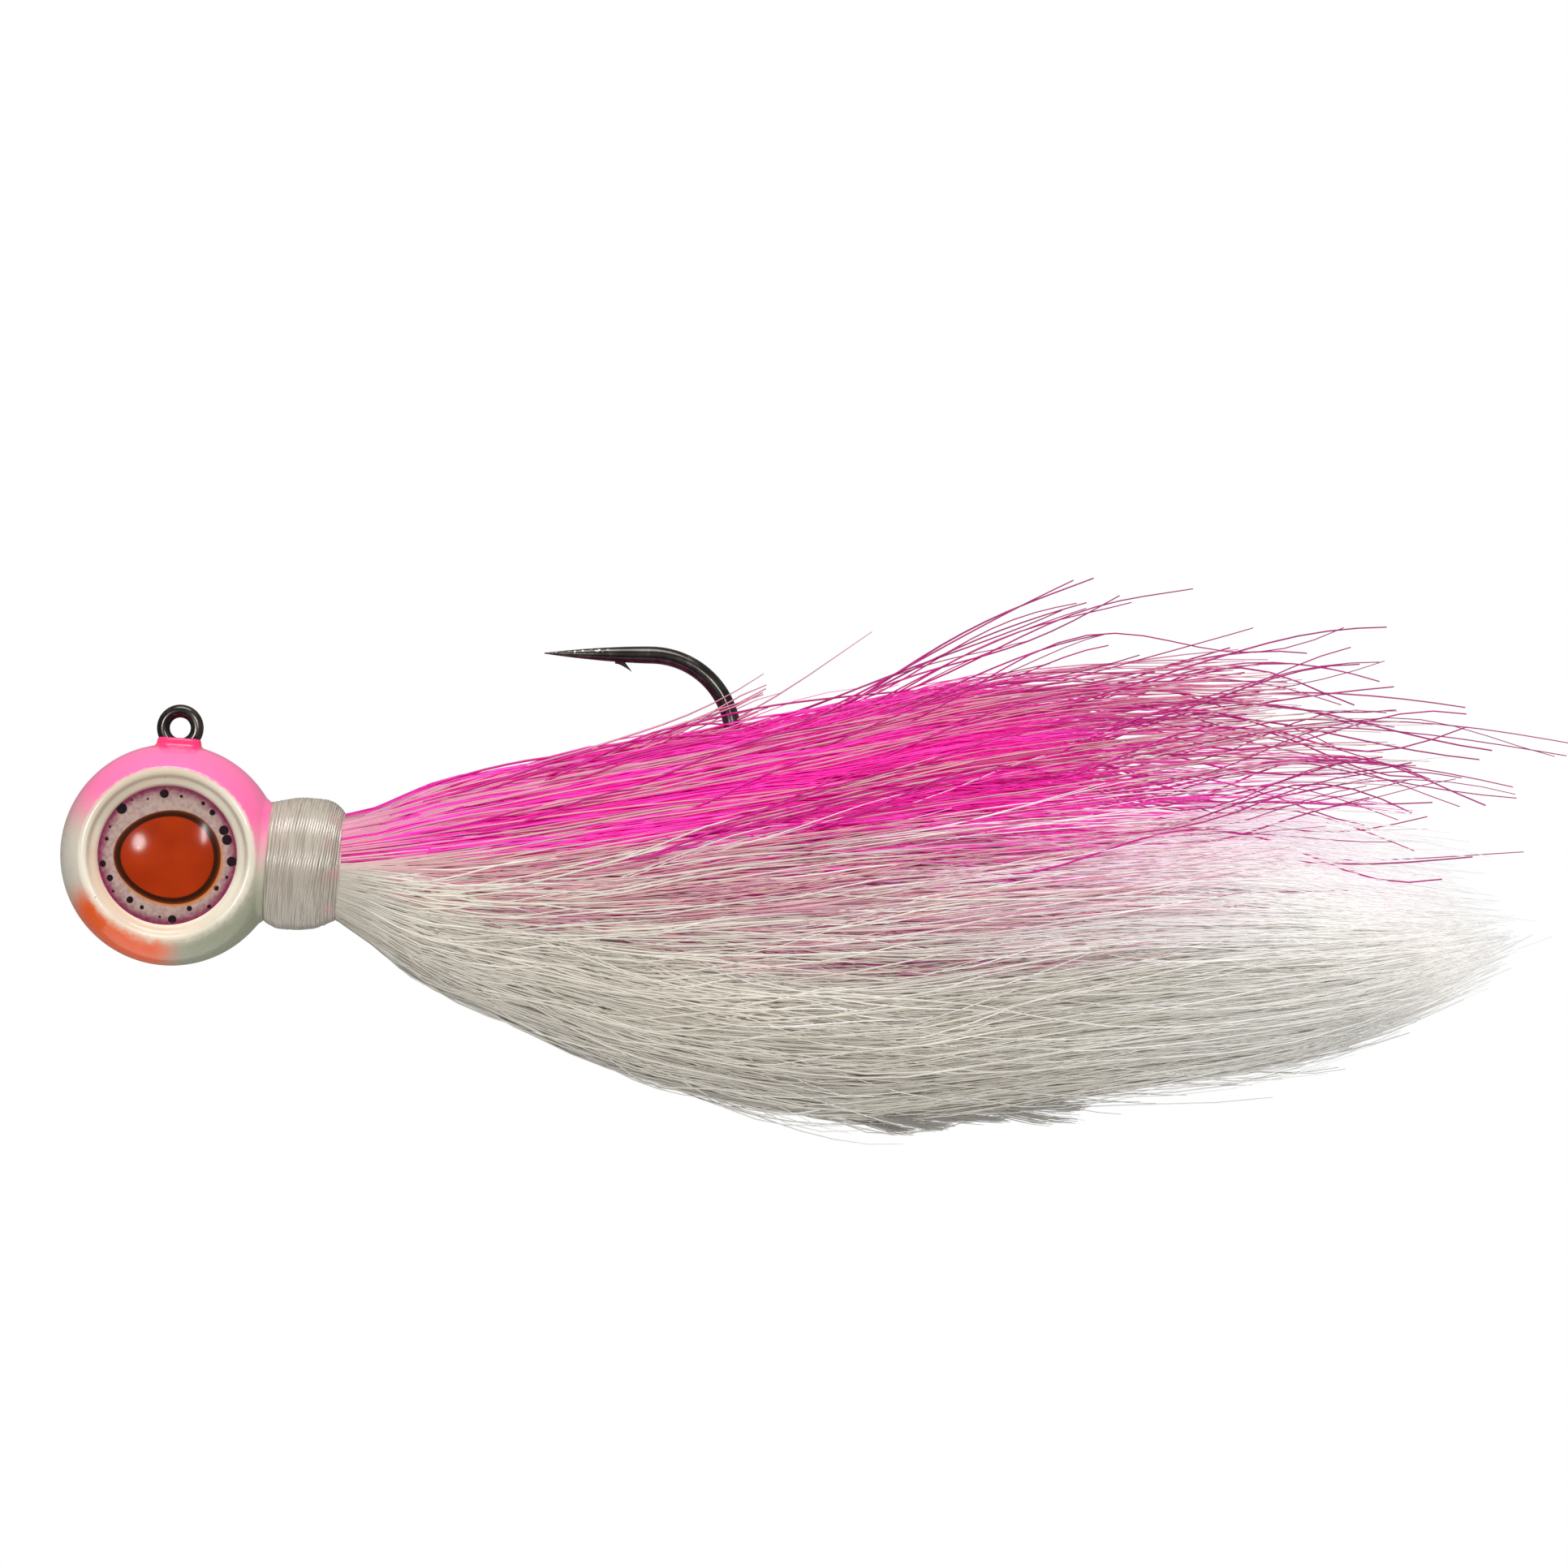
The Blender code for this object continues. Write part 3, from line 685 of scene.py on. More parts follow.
# Painted shade: the lower back is a dark greenish grey, partly the paint's tint and partly the shade
# under the ball.
pearl = paint_over(pearl, linear(158, 160, 134), (x * 0.7 - height).ease(5 * MM, 12 * MM) * past_rim)
top = (height + cloud * (1.5 * MM) + mist * (0.8 * MM) + x * 0.12).ease(-0.8 * MM, 6.0 * MM)
coat = paint_over(pearl, linear(252, 112, 168), top * outside_rim)
foot = (x.math("ABSOLUTE") + mist * (0.2 * MM)).ease(3.1 * MM, 2.4 * MM)
deep = (height + mist * (0.3 * MM)).ease(10.6 * MM, 11.0 * MM) * foot
coat = paint_over(coat, linear(236, 52, 112), deep)
chin = ((x + 5.0 * MM) ** 2 + (height + 9.0 * MM) ** 2) ** 0.5 + mist * (1.2 * MM)
coat = paint_over(coat, linear(246, 92, 0), chin.ease(7.6 * MM, 4.0 * MM) * past_rim)
# Painted shade: the groove inside the rim is darker on its upper side, where the rim shades it.
crease_shade = (from_middle - 7.95 * MM).math("ABSOLUTE").ease(0.28 * MM, 0.02 * MM)
coat = paint_over(coat, linear(176, 160, 138), crease_shade * height.ease(-4 * MM, 3 * MM) * 0.55)
dust = noise(spot, 2100, 1).ease(0.79, 0.82)
plug(paint_over(coat, linear(120, 84, 70), dust * 0.8), shader.inputs["Base Color"])
plug(mist * 0.2 + 0.3, shader.inputs["Roughness"])
plug(bump(noise(spot, 420, 2), 0.25, 0.05 * MM), shader.inputs["Normal"])
tell_nodes(paint.name, tree)

# %% Head pieces
verts, faces = skin([[tuple(p) for p in ring] for ring in head_points()], True)
head = add_piece("head_shell", verts, faces, paint)
boss = add_piece("ring_boss", *skin(boss_rings(), True), paint)
for piece in (head, boss):
    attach(piece, "head")
    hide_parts("head_casting")
print(f"head: {len(head.data.polygons)} faces")

# %% [markdown]
# ## The eyes
# Each eye is a printed disc under a dome of clear cast resin. The print is worked out from the
# distance and the angle about the middle: a plum edge, a pale iris with a loose ring of black dots
# of many sizes, and a red-brown egg for the pupil with a dark line round it.

# %% Eye print
EYE_RADIUS = (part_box("eye_dome_left")[1].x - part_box("eye_dome_left")[0].x) / 2
DOT_COUNT = 23
DOT_RING = 6.15 * MM
PUPIL_HALF = (5.25 * MM, 4.55 * MM)


def random_for(cell, salt):
    """A random number between 0 and 1 for each whole number."""
    return cell.node("ShaderNodeTexWhiteNoise", {"W": cell + salt}, noise_dimensions="1D")


eye_print, tree, shader = finish("eye_print", roughness=0.5, specular_ior_level=0.0)
x, y, z, spot = place_in(tree)
height, from_middle = from_group(tree, face_place)
angle = height.math("ARCTAN2", x) / math.tau + 0.5
grain = noise(spot, 2500, 3)
iris = paint_over(linear(174, 153, 143), linear(154, 131, 126), grain.ease(0.35, 0.7))
rim_shade = (from_middle + (grain - 0.5) * (0.5 * MM)).ease(5.5 * MM, 6.9 * MM)
iris = paint_over(iris, linear(122, 42, 76), rim_shade ** 1.5)
cell = (angle * DOT_COUNT).floor()
dot_size = random_for(cell, 3.1) ** 2 * (0.42 * MM) + 0.10 * MM
in_cell = angle * DOT_COUNT - cell - 0.5 + (random_for(cell, 7.7) - 0.5) * 0.5
along = in_cell / DOT_COUNT * math.tau * DOT_RING
across = from_middle - DOT_RING + (random_for(cell, 11.3) - 0.5) * (0.9 * MM)
dots = (along ** 2 + across ** 2) ** 0.5
iris = paint_over(iris, linear(32, 22, 26), (dots - dot_size).ease(0.06 * MM, -0.03 * MM))
swell = x / PUPIL_HALF[0] * 0.12 + 1.0
egg = ((x / PUPIL_HALF[0]) ** 2 + ((height + 0.15 * MM) / PUPIL_HALF[1] / swell) ** 2) ** 0.5
glow = egg.ease(1.12, 1.0) * (x * 0.5 - height).ease(-2 * MM, 4 * MM)
iris = paint_over(iris, linear(190, 108, 24), glow * 0.9)
line = paint_over(linear(48, 22, 10), linear(104, 44, 10), egg.ease(0.94, 1.02))
iris = paint_over(iris, line, egg.ease(1.03, 1.0))
pupil = paint_over(linear(156, 49, 12), linear(142, 41, 9), noise(spot, 300, 3).ease(0.35, 0.65))
plug(paint_over(iris, pupil, egg.ease(0.89, 0.86)), shader.inputs["Base Color"])
tell_nodes(eye_print.name, tree)

# %% [markdown]
# ## The eyes' domes
# Clear resin bends the view of the print a little and mirrors the softboxes. A glass dome would also
# throw a dark shadow on its own print, so lamp light passes straight through it. Print and dome are
# both turned about the Y axis, and the dome's top is part of a sphere.

# %% Eye resin
RESIN_IOR = 1.46
resin, tree, shader = finish("eye_resin", roughness=0.0, ior=RESIN_IOR, transmission_weight=1.0,
                             specular_tint=(0, 0, 0, 1), coat_weight=0.24, coat_roughness=0.12,
                             coat_ior=RESIN_IOR)
let_light_through(tree, shader, (1, 1, 1, 1))
tell_nodes(resin.name, tree)


# %% Eye pieces
DISC_SIDES = 96
DISC_BEVEL = 0.05 * MM
DOME_SIDES = 128
DOME_RADIUS = EYE_RADIUS * 1.003
DOME_EDGE = 0.4 * MM
DOME_BEVELS = (0.06 * MM, 0.1 * MM)


def turned(name, profile, side, sides, material):
    """A disc turned about the Y axis from (radius, depth towards the side) points."""
    rings = []
    for radius, depth in profile:
        ring = []
        for cosine, sine in corners_of(sides):
            ring.append((radius * cosine, side * depth, SHANK_Z - side * radius * sine))
        rings.append(ring)
    return add_piece(name, *skin(rings, True), material)


for side_name, side in SIDES:
    depths = [abs(corner.y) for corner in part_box(f"eye_decal_{side_name}")]
    back, front = min(depths), max(depths)
    disc = [(EYE_RADIUS * share, back) for share in (0.3, 0.7, 0.97)]
    disc += [(EYE_RADIUS, back + DISC_BEVEL), (EYE_RADIUS, front - DISC_BEVEL)]
    disc += [(EYE_RADIUS * share, front) for share in (0.99, 0.7, 0.3)]
    decal = turned(f"eye_disc_{side_name}", disc, side, DISC_SIDES, eye_print)
    sunk = (back + front) / 2
    depths = [abs(corner.y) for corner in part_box(f"eye_dome_{side_name}")]
    edge = min(depths) + DOME_EDGE
    crown = max(depths)
    dome = [(EYE_RADIUS * share, sunk) for share in (0.3, 0.7, 0.99)]
    dome += [(DOME_RADIUS, sunk + DOME_BEVELS[0]), (DOME_RADIUS, edge - DOME_BEVELS[1])]
    rise = crown - edge
    sphere = (EYE_RADIUS**2 + rise**2) / (2 * rise)
    for tilt in np.linspace(math.asin(EYE_RADIUS / sphere), 0.01, 40):
        dome.append((sphere * math.sin(tilt), crown - sphere * (1 - math.cos(tilt))))
    lens = turned(f"eye_lens_{side_name}", dome, side, DOME_SIDES, resin)
    for piece, node, slot in ((decal, "eye_decal", "eye_print"), (lens, "eye_dome", "eye_resin")):
        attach(piece, "head")
        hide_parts(f"{node}_{side_name}")
print(f"eyes: {2 * EYE_RADIUS / MM:.1f} mm across")

# %% [markdown]
# ## Node trees that make pieces
# Thread and hair repeat the same strand many times along a path, which is what Geometry Nodes are
# for. Each tree has named inputs, so one tree can make many pieces. The modifier is run once, its
# result becomes a plain mesh, and the modifier goes.

# %% Geometry tree helpers
MESH_OUT = (("Geometry", "Geometry"),)


def close_tree(tree, geometry, material):
    """Realizes the instances, sets the material and links the tree's output."""
    real = geometry.node("GeometryNodeRealizeInstances", {"Geometry": geometry})
    dressed = real.node("GeometryNodeSetMaterial", {"Geometry": real, "Material": material})
    end_tree(tree, dressed.node("GeometryNodeSetShadeSmooth", {"Geometry": dressed}))


def grow(name, tree, values):
    """A plain mesh piece that a tree makes with these input values."""
    holder = bpy.data.objects.new(name + "_holder", bpy.data.meshes.new(name + "_holder"))
    scene.collection.objects.link(holder)
    modifier = holder.modifiers.new("tree", "NODES")
    modifier.node_group = tree
    for item in tree.interface.items_tree:
        if item.in_out == "INPUT" and item.name in values:
            modifier[item.identifier] = values[item.name]
    result = holder.evaluated_get(bpy.context.evaluated_depsgraph_get())
    mesh = bpy.data.meshes.new_from_object(result)
    bpy.data.objects.remove(holder)
    mesh.name = name
    piece = bpy.data.objects.new(name, mesh)
    scene.collection.objects.link(piece)
    return piece


# %% [markdown]
# ## The thread
# White floss is wound tightly over the tied hair, from the head back and forward again, so that it
# swells in the middle. Two windings of thin cord follow the barrel's outline: a close one that covers
# it, and a looser one over it that slants more. Both are one tree with other inputs.

# %% Thread winding
BARREL = ((0.0, 5.95), (0.12, 6.25), (0.35, 6.6), (0.6, 6.55), (0.82, 6.0), (1.0, 5.1))
THREAD = 0.2 * MM
FLOSS_SECTION = (1.7, 0.75, 1.0)
UNEVEN_OUT = 0.05 * MM
UNEVEN_ALONG = 0.16 * MM

tree, given = new_tree("thread_winding", "GeometryNodeTree", (
    ("Turns", "Float", 39.0), ("Lift", "Float", 0.0), ("Slant", "Float", 0.0), ("Seed", "Float", 1.0),
    ("Radius", "Float", THREAD / 2), ("Material", "Material", None)), MESH_OUT)
start = given["Turns"]
spiral = start.node("GeometryNodeCurveSpiral", {"Resolution": 36, "Rotations": start, "Height": 1.0})
share = start.node("GeometryNodeSplineParameter", {})
angle = share * start * math.tau
turned_so_far = share * start * 1.7 + given["Seed"] * 13.0
jitter = start.node("ShaderNodeTexNoise", {"W": turned_so_far, "Scale": 1.0, "Detail": 2.0},
                    noise_dimensions="1D") - 0.5
radius = share.outline(BARREL) * MM + given["Lift"] + jitter * UNEVEN_OUT
across = wrap_high.x - wrap_low.x - 2 * THREAD
lean = given["Slant"] * angle.math("COSINE") * share * (1 - share) * 4
x = share * across + wrap_low.x + THREAD + jitter * UNEVEN_ALONG + lean
place = start.node("ShaderNodeCombineXYZ", {0: x, 1: radius * angle.math("SINE"),
                                            2: radius * angle.math("COSINE") + SHANK_Z})
wound = start.node("GeometryNodeSetPosition", {"Geometry": spiral, "Position": place})
laid = start.node("GeometryNodeSetCurveNormal", {"Curve": wound, "Normal": (1.0, 0.0, 0.0)}, mode="FREE")
section = start.node("GeometryNodeCurvePrimitiveCircle", {"Resolution": 8, "Radius": 1.0})
section = start.node("GeometryNodeTransform", {"Geometry": section, "Scale": FLOSS_SECTION})
cord = start.node("GeometryNodeCurveToMesh", {"Curve": laid, "Profile Curve": section,
                                              "Scale": given["Radius"], "Fill Caps": True})
close_tree(tree, cord, given["Material"])
thread_tree = tree
tell_nodes(thread_tree.name, tree)

# %% [markdown]
# ## The thread's finish
# Floss is a flat ribbon of fine fibres, so it shines in streaks along its run. Noise that is drawn
# out round the barrel gives the streaks, and changes tone, roughness and relief together. A second
# noise lays pink on the last turns, next to the hair. Hair that is pressed flat has such streaks too,
# so they are a node group.

# %% Fibre streaks
fibre_streaks, given = new_tree("fibre_streaks", "ShaderNodeTree", (("Scale", "Vector", None),), (
    ("Fibre", "Float"),))
*_, spot = place_in(fibre_streaks)
drawn_out = spot.node("ShaderNodeMapping", {"Vector": spot, "Scale": given["Scale"]})
end_tree(fibre_streaks, noise(drawn_out, 1.0, 2))
tell_nodes(fibre_streaks.name, fibre_streaks)

# %% Thread finish
floss, tree, shader = finish("white_thread", roughness=0.3, specular_ior_level=0.9)
x, y, z, spot = place_in(tree)
fibre, = from_group(tree, fibre_streaks, Scale=(5200.0, 260.0, 260.0))
tone = paint_over(linear(178, 168, 154), linear(148, 139, 125), fibre.ease(0.4, 0.72))
# Pink patches on the last turns, next to the pink hair.
pink_near_hair = noise(spot, 330, 2).ease(0.5, 0.68) * x.ease(15 * MM, 17.2 * MM)
plug(paint_over(tone, linear(196, 150, 150), pink_near_hair * 0.8), shader.inputs["Base Color"])
plug(fibre * 0.3 + 0.1, shader.inputs["Roughness"])
plug(bump(fibre, 0.3, 0.03 * MM), shader.inputs["Normal"])
tell_nodes(floss.name, tree)

# %% Thread pieces
CORE_SIDES = 72
CORE_INSET = 0.06 * MM
barrel_rings = []
for share in np.linspace(0, 1, 25):
    outer = np.interp(share, *zip(*BARREL)) * MM - CORE_INSET
    place = wrap_low.x + share * (wrap_high.x - wrap_low.x)
    corners = corners_of(CORE_SIDES)
    barrel_rings.append([(place, outer * cosine, SHANK_Z + outer * sine) for cosine, sine in corners])
core = add_piece("thread_core", *skin(barrel_rings, True), floss)
close_turns = grow("thread_turns", thread_tree, {
    "Turns": 40.0, "Slant": 0.3 * MM, "Seed": 1.0, "Material": floss})
loose_turns = grow("thread_over_turns", thread_tree, {
    "Turns": 27.0, "Lift": 0.09 * MM, "Slant": 0.9 * MM, "Seed": 5.0, "Material": floss})
for piece in (core, close_turns, loose_turns):
    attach(piece, "head")
    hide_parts("thread_wrap")
print(f"thread: {len(close_turns.data.polygons) + len(loose_turns.data.polygons)} faces")

# %% [markdown]
# ## The hair
# Bucktail is straight, springy deer hair. The tyer lays pink hair over the hook and white hair under
# it, flared from the thread, and the tips are left as they grew. One tree makes a bunch. Every hair
# keeps the same place in the bunch from root to tip, given by how high it lies between the tail's
# border and its outline and how far out from the middle, and the outlines carry it along.
# Hairs then gather in locks, wander and wave a little. The outlines are heights in mm above the
# shank at shares of the tail's length, and a hair's reach depends on how far it lies from the border.

# %% Tail outlines
TAIL_START = wrap_high.x - 1.0 * MM
TAIL_REACH = 126 * MM
TOP = ((0, 5.1), (0.01, 5.3), (0.066, 8.3), (0.145, 11.3), (0.3, 15.9), (0.36, 17.9), (0.56, 24.2),
       (0.7, 26), (1, 27))
PINK_BORDER = ((0, 0.3), (0.06, 1.1), (0.19, 2.7), (0.32, 4.8), (0.44, 6.2), (0.58, 7.7), (0.7, 9.5),
               (0.8, 11), (1, 11))
WHITE_BORDER = ((0, 0.2), (0.19, 2.2), (0.32, 4.2), (0.44, 5.5), (0.58, 6.8), (0.7, 7.6), (0.83, 6.4),
                (1, 3.6))
BOTTOM = ((0, -5.1), (0.01, -5.6), (0.035, -7.6), (0.078, -11), (0.16, -14.8), (0.31, -20.6),
          (0.43, -21.8), (0.53, -20), (0.66, -16.5), (0.76, -13.8), (0.83, -10.7), (0.92, -4.6), (1, 3))
DEPTH = ((0, 5.0), (0.14, 8.2), (0.34, 11), (0.54, 11.6), (0.74, 9.6), (1, 5.5))
PINK_REACH = ((0, 0.97), (0.43, 0.93), (0.71, 0.87), (0.89, 0.79), (1, 0.71))
WHITE_REACH = ((0, 0.98), (0.5, 1.0), (0.8, 1.0), (1, 0.99))
TIP_LIFT = ((0, 0), (0.2, 2), (0.36, 6), (0.46, 9.5), (0.57, 11.5), (0.7, 9.2), (0.86, 6.5), (1, 4))
LIFT_FROM = 0.55
print(f"tail: {TAIL_REACH / MM:.0f} mm long")

# %% Hair tree
tree, given = new_tree("hair_bunch", "GeometryNodeTree", (
    ("Strands", "Int", 1000), ("Points", "Int", 18), ("Seed", "Int", 1), ("Side", "Float", -1.0),
    ("Fan Start", "Float", 0.0), ("Fan End", "Float", 0.8), ("Core", "Float", 0.1),
    ("Fullness", "Float", 0.4), ("Columns", "Float", 14.0), ("Rows", "Float", 6.0),
    ("Clumping", "Float", 0.5), ("Drift", "Float", 0.2), ("Lift", "Float", 0.0),
    ("Outer", "Float", 0.99), ("Shortest", "Float", 0.5), ("Spread", "Float", 0.2),
    ("Wander", "Float", 2 * MM), ("Rise", "Float", 0.0), ("Kick", "Float", 0.0), ("Waves", "Float", 3.0),
    ("Wave Height", "Float", 0.25 * MM), ("Radius", "Float", 0.07 * MM), ("Tip", "Float", 0.3),
    ("Tint Start", "Float", 0.0), ("Tint End", "Float", 0.8),
    ("Border Tint", "Float", 0.0), ("Pink", "Float", 1.0), ("Material", "Material", None)), MESH_OUT)
seed = given["Seed"]
line = seed.node("GeometryNodeCurvePrimitiveLine", {})
line = seed.node("GeometryNodeResampleCurve", {"Curve": line, "Count": given["Points"]})
copies = tree.nodes.new("GeometryNodeDuplicateElements")
copies.domain = "SPLINE"
tree.links.new(line.socket, copies.inputs["Geometry"])
tree.links.new(given["Strands"].socket, copies.inputs["Amount"])
strand = Field(tree, copies.outputs["Duplicate Index"])
along = seed.node("GeometryNodeSplineParameter", {})


def dice(owner, salt):
    """A random number between 0 and 1 for each strand or lock."""
    return owner.node("FunctionNodeRandomValue", {7: owner, 8: seed + salt}, output=1)


# %% [markdown]
# ## Each hair's place
# The fan angle runs from the top of the tail down its side to the bottom, and the rise from the
# middle out to the skin. Both are random for a hair. Hairs in the same column and row make a lock,
# and are pulled towards its middle on their way to the tip, as hair that has been wet stays gathered.

# %% Hair places
turn = dice(strand, 1)
rise = given["Core"] + (1 - given["Core"]) * dice(strand, 2) ** given["Fullness"]
column = (turn * given["Columns"]).floor()
row = (rise * given["Rows"]).floor()
lock = column + row * 64
pull = given["Clumping"] * along.ease(0.0, 0.45)
lock_turn = (column + 0.25 + dice(lock, 3) * 0.5) / given["Columns"]
lock_rise = ((row + 0.25 + dice(lock, 4) * 0.5) / given["Rows"]).at_most(1.0)
fan = given["Fan Start"] + (given["Fan End"] - given["Fan Start"]) * turn.mix(lock_turn, pull)
sway = dice(strand, 13) + dice(lock, 15) - 1
fan = fan + (sway * given["Drift"] * 1.6 - given["Lift"]) * along
out = rise.mix(lock_rise, pull) + (dice(strand, 14) - 0.6) * given["Drift"] * along
out = out.at_most(given["Outer"])
up_share = out * fan.math("COSINE")
side_share = out * fan.math("SINE")
rest_fan = given["Fan Start"] + (given["Fan End"] - given["Fan Start"]) * turn
rest_share = (rise * rest_fan.math("COSINE")).math("ABSOLUTE")

# %% [markdown]
# ## Each hair's length and path
# A natural tail has no cut edge: hairs end at many lengths, and a few run on past the rest. A hair
# follows the outlines at its own share of the tail's length. It then wanders with its lock, lifts off
# or kicks near its tip where a bunch asks for it, and waves on the way.

# %% Hair lengths and heights
reach = rest_share.outline(WHITE_REACH).mix(rest_share.outline(PINK_REACH), given["Pink"])
longest = (1 - given["Shortest"] - given["Spread"]) * dice(strand, 16) ** 45.0
short = dice(strand, 5).mix(dice(lock, 20), given["Clumping"])
short = given["Shortest"] + given["Spread"] * short + longest
end_share = reach * short
tail_share = along * end_share
border = tail_share.outline(WHITE_BORDER).mix(tail_share.outline(PINK_BORDER), given["Pink"]) * MM
above = tail_share.outline(TOP) * MM - border
below = border - tail_share.outline(BOTTOM) * MM
stray = tail_share ** 1.6 * given["Wander"]


def astray(salt):
    """Most hairs wander a little with their lock, and a few a long way by themselves."""
    own = dice(strand, salt) * 2 - 1
    return (own ** 3 * 3 + dice(lock, salt + 1) * 2 - 1) * stray


late = ((along - LIFT_FROM) / (1 - LIFT_FROM)).at_least(0.0) ** 1.4
lift_off = end_share.outline(TIP_LIFT) * MM * given["Rise"] * late * rest_share ** 2.0
kick = given["Kick"] * along.ease(0.86, 1.02) * (0.7 + 0.3 * dice(strand, 19))
lift_off = lift_off * dice(strand, 19) + kick
wave = (along * given["Waves"] * (dice(strand, 17) + 0.5) + dice(strand, 6)) * math.tau
wave_size = given["Wave Height"] * along.ease(0.0, 0.3)
z = (border + up_share.at_least(0.0) * above + up_share.at_most(0.0) * below + SHANK_Z
     + astray(7) + lift_off + wave.math("SINE") * wave_size)
y = side_share * tail_share.outline(DEPTH) * MM + astray(9) * 0.5 + wave.math("COSINE") * wave_size
x = tail_share * TAIL_REACH + TAIL_START
place = seed.node("ShaderNodeCombineXYZ", {0: x, 1: y * given["Side"], 2: z})
combed = seed.node("GeometryNodeSetPosition", {"Geometry": Field(tree, copies.outputs["Geometry"]),
                                               "Position": place})

# %% [markdown]
# ## Each hair's tint and mesh
# Three sides are enough for a hair this thin, and keep the tail light. The tint is partly the hair's
# own and partly its lock's. Tint and share of length go into a UV map, where the finish reads them.

# %% Hair tints and meshes
mixed = dice(strand, 11) * 0.35 + dice(lock, 18) * 0.65
tint = given["Tint Start"] + (given["Tint End"] - given["Tint Start"]) * mixed
tint = (tint + given["Border Tint"] * rest_share.ease(0.42, 0.05)).at_most(0.97)


def mark(geometry, title, value, **settings):
    """The geometry with a value stored on it under a name."""
    values = {"Geometry": geometry, "Name": title, "Value": value}
    return geometry.node("GeometryNodeStoreNamedAttribute", values, **settings)


marked = mark(mark(combed, "tint", tint), "along", along)
section = seed.node("GeometryNodeCurvePrimitiveCircle", {"Resolution": 3, "Radius": 1.0})
section = mark(section, "around", seed.node("GeometryNodeSplineParameter", {}))
taper = 1 - (1 - given["Tip"]) * along ** 2.2
thickness = given["Radius"] * (0.7 + 0.6 * dice(strand, 12)) * taper
hairs = seed.node("GeometryNodeCurveToMesh", {"Curve": marked, "Profile Curve": section,
                                              "Scale": thickness, "Fill Caps": True})
marks = {}
for title in ("tint", "along", "around"):
    marks[title] = seed.node("GeometryNodeInputNamedAttribute", {"Name": title})
across = marks["tint"] + marks["around"] * 0.01
print_place = seed.node("ShaderNodeCombineXYZ", {0: across, 1: marks["along"]})
hairs = mark(hairs, "OFBake", print_place, data_type="FLOAT2", domain="CORNER")
close_tree(tree, hairs, given["Material"])
hair_tree = tree
tell_nodes(hair_tree.name, tree)

# %% [markdown]
# ## Dyed and plain hair
# A hair's colour depends on two numbers that the tree leaves in its UV map: a tint of its own, and
# how far along the hair the point lies. Pink hairs run from deep magenta to hot pink, and a few take
# the dye badly and stay pale. White hairs are warm, greyer in places, and pinker near the border; the
# greyest, which the hairs under the belly take, are painted shade. Painted shade darkens both colours
# at the root, and white tips are painted near-white, a painted glow.

# %% Hair materials
TIP_FADE = 0.6
hair_print, _ = new_tree("hair_print", "ShaderNodeTree", (), (
    ("Tint", "Float"), ("Along", "Float"), ("Uneven", "Float")))
uv = hair_print.nodes.new("ShaderNodeUVMap")
uv.uv_map = "OFBake"
split = hair_print.nodes.new("ShaderNodeSeparateXYZ")
hair_print.links.new(uv.outputs[0], split.inputs[0])
tint, along, _ = [Field(hair_print, out) for out in split.outputs]
own_place = tint.node("ShaderNodeCombineXYZ", {0: tint * 37.0, 1: along * 5.0})
end_tree(hair_print, tint, along, noise(own_place, 1.0, 2))


def hair_finish(name, tones, root_shade, tip_tone_and_glow, tip_start, tip_delay, passed):
    """Hair that takes its tone from its tint, with painted shade at its root and a tip colour that is a
    painted glow on white hair.
    """
    made, tree, shader = finish(name, roughness=0.4, specular_ior_level=0.45)
    tint, along, uneven = from_group(tree, hair_print)
    tone = tones[0][1]
    for (start, _), (end, colour) in zip(tones, tones[1:]):
        tone = paint_over(tone, colour, tint.ease(start, end))
    # Painted shade: the hair darkens near its root, next to the thread; pale hairs are left out.
    tone = paint_over(tone, root_shade, along.ease(0.13, 0.0) * tint.ease(0.72, 0.6))
    # On white hair the tip colour is near-white, a painted glow for light through the thin tips; on pink
    # hair it is a darker pink.
    tip_from = tip_start + tint * tip_delay
    tone = paint_over(tone, tip_tone_and_glow, along.ease(tip_from, tip_from + TIP_FADE))
    shade = tone.node("ShaderNodeHueSaturation", {"Color": tone, "Value": uneven * 0.7 + 0.65})
    plug(shade, shader.inputs["Base Color"])
    plug(uneven * 0.2 + 0.3, shader.inputs["Roughness"])
    let_light_through(tree, shader, passed)
    tell_nodes(name, tree)
    return made


pink_hair = hair_finish("pink_hair", (
    (0.0, linear(200, 8, 136)), (0.3, linear(236, 18, 172)), (0.6, linear(255, 74, 204)),
    (0.82, linear(216, 144, 168)), (0.95, linear(214, 184, 176))),
    linear(222, 14, 150), linear(170, 24, 116), 0.2, 2.4, (0.88, 0.4, 0.8, 1))
# The greyest white, at tint 0, is painted shade where the hairs under the belly take it.
white_hair = hair_finish("white_hair", (
    (0.0, linear(170, 166, 158)), (0.3, linear(212, 207, 197)), (0.65, linear(224, 218, 207)),
    (0.8, linear(216, 196, 188)), (0.95, linear(208, 178, 173))),
    linear(184, 177, 163), linear(250, 250, 249), 0.9, -0.8, (0.97, 0.965, 0.955, 1))

# %% [markdown]
# ## Bunches
# The tail is eight bunches, four to a side, which the frame hinges at the thread so that the hair
# can flare. A bunch is set by the angles that it fans over, from the top of the tail down, and by how
# many hairs it has. Each colour's bunches share their other inputs.

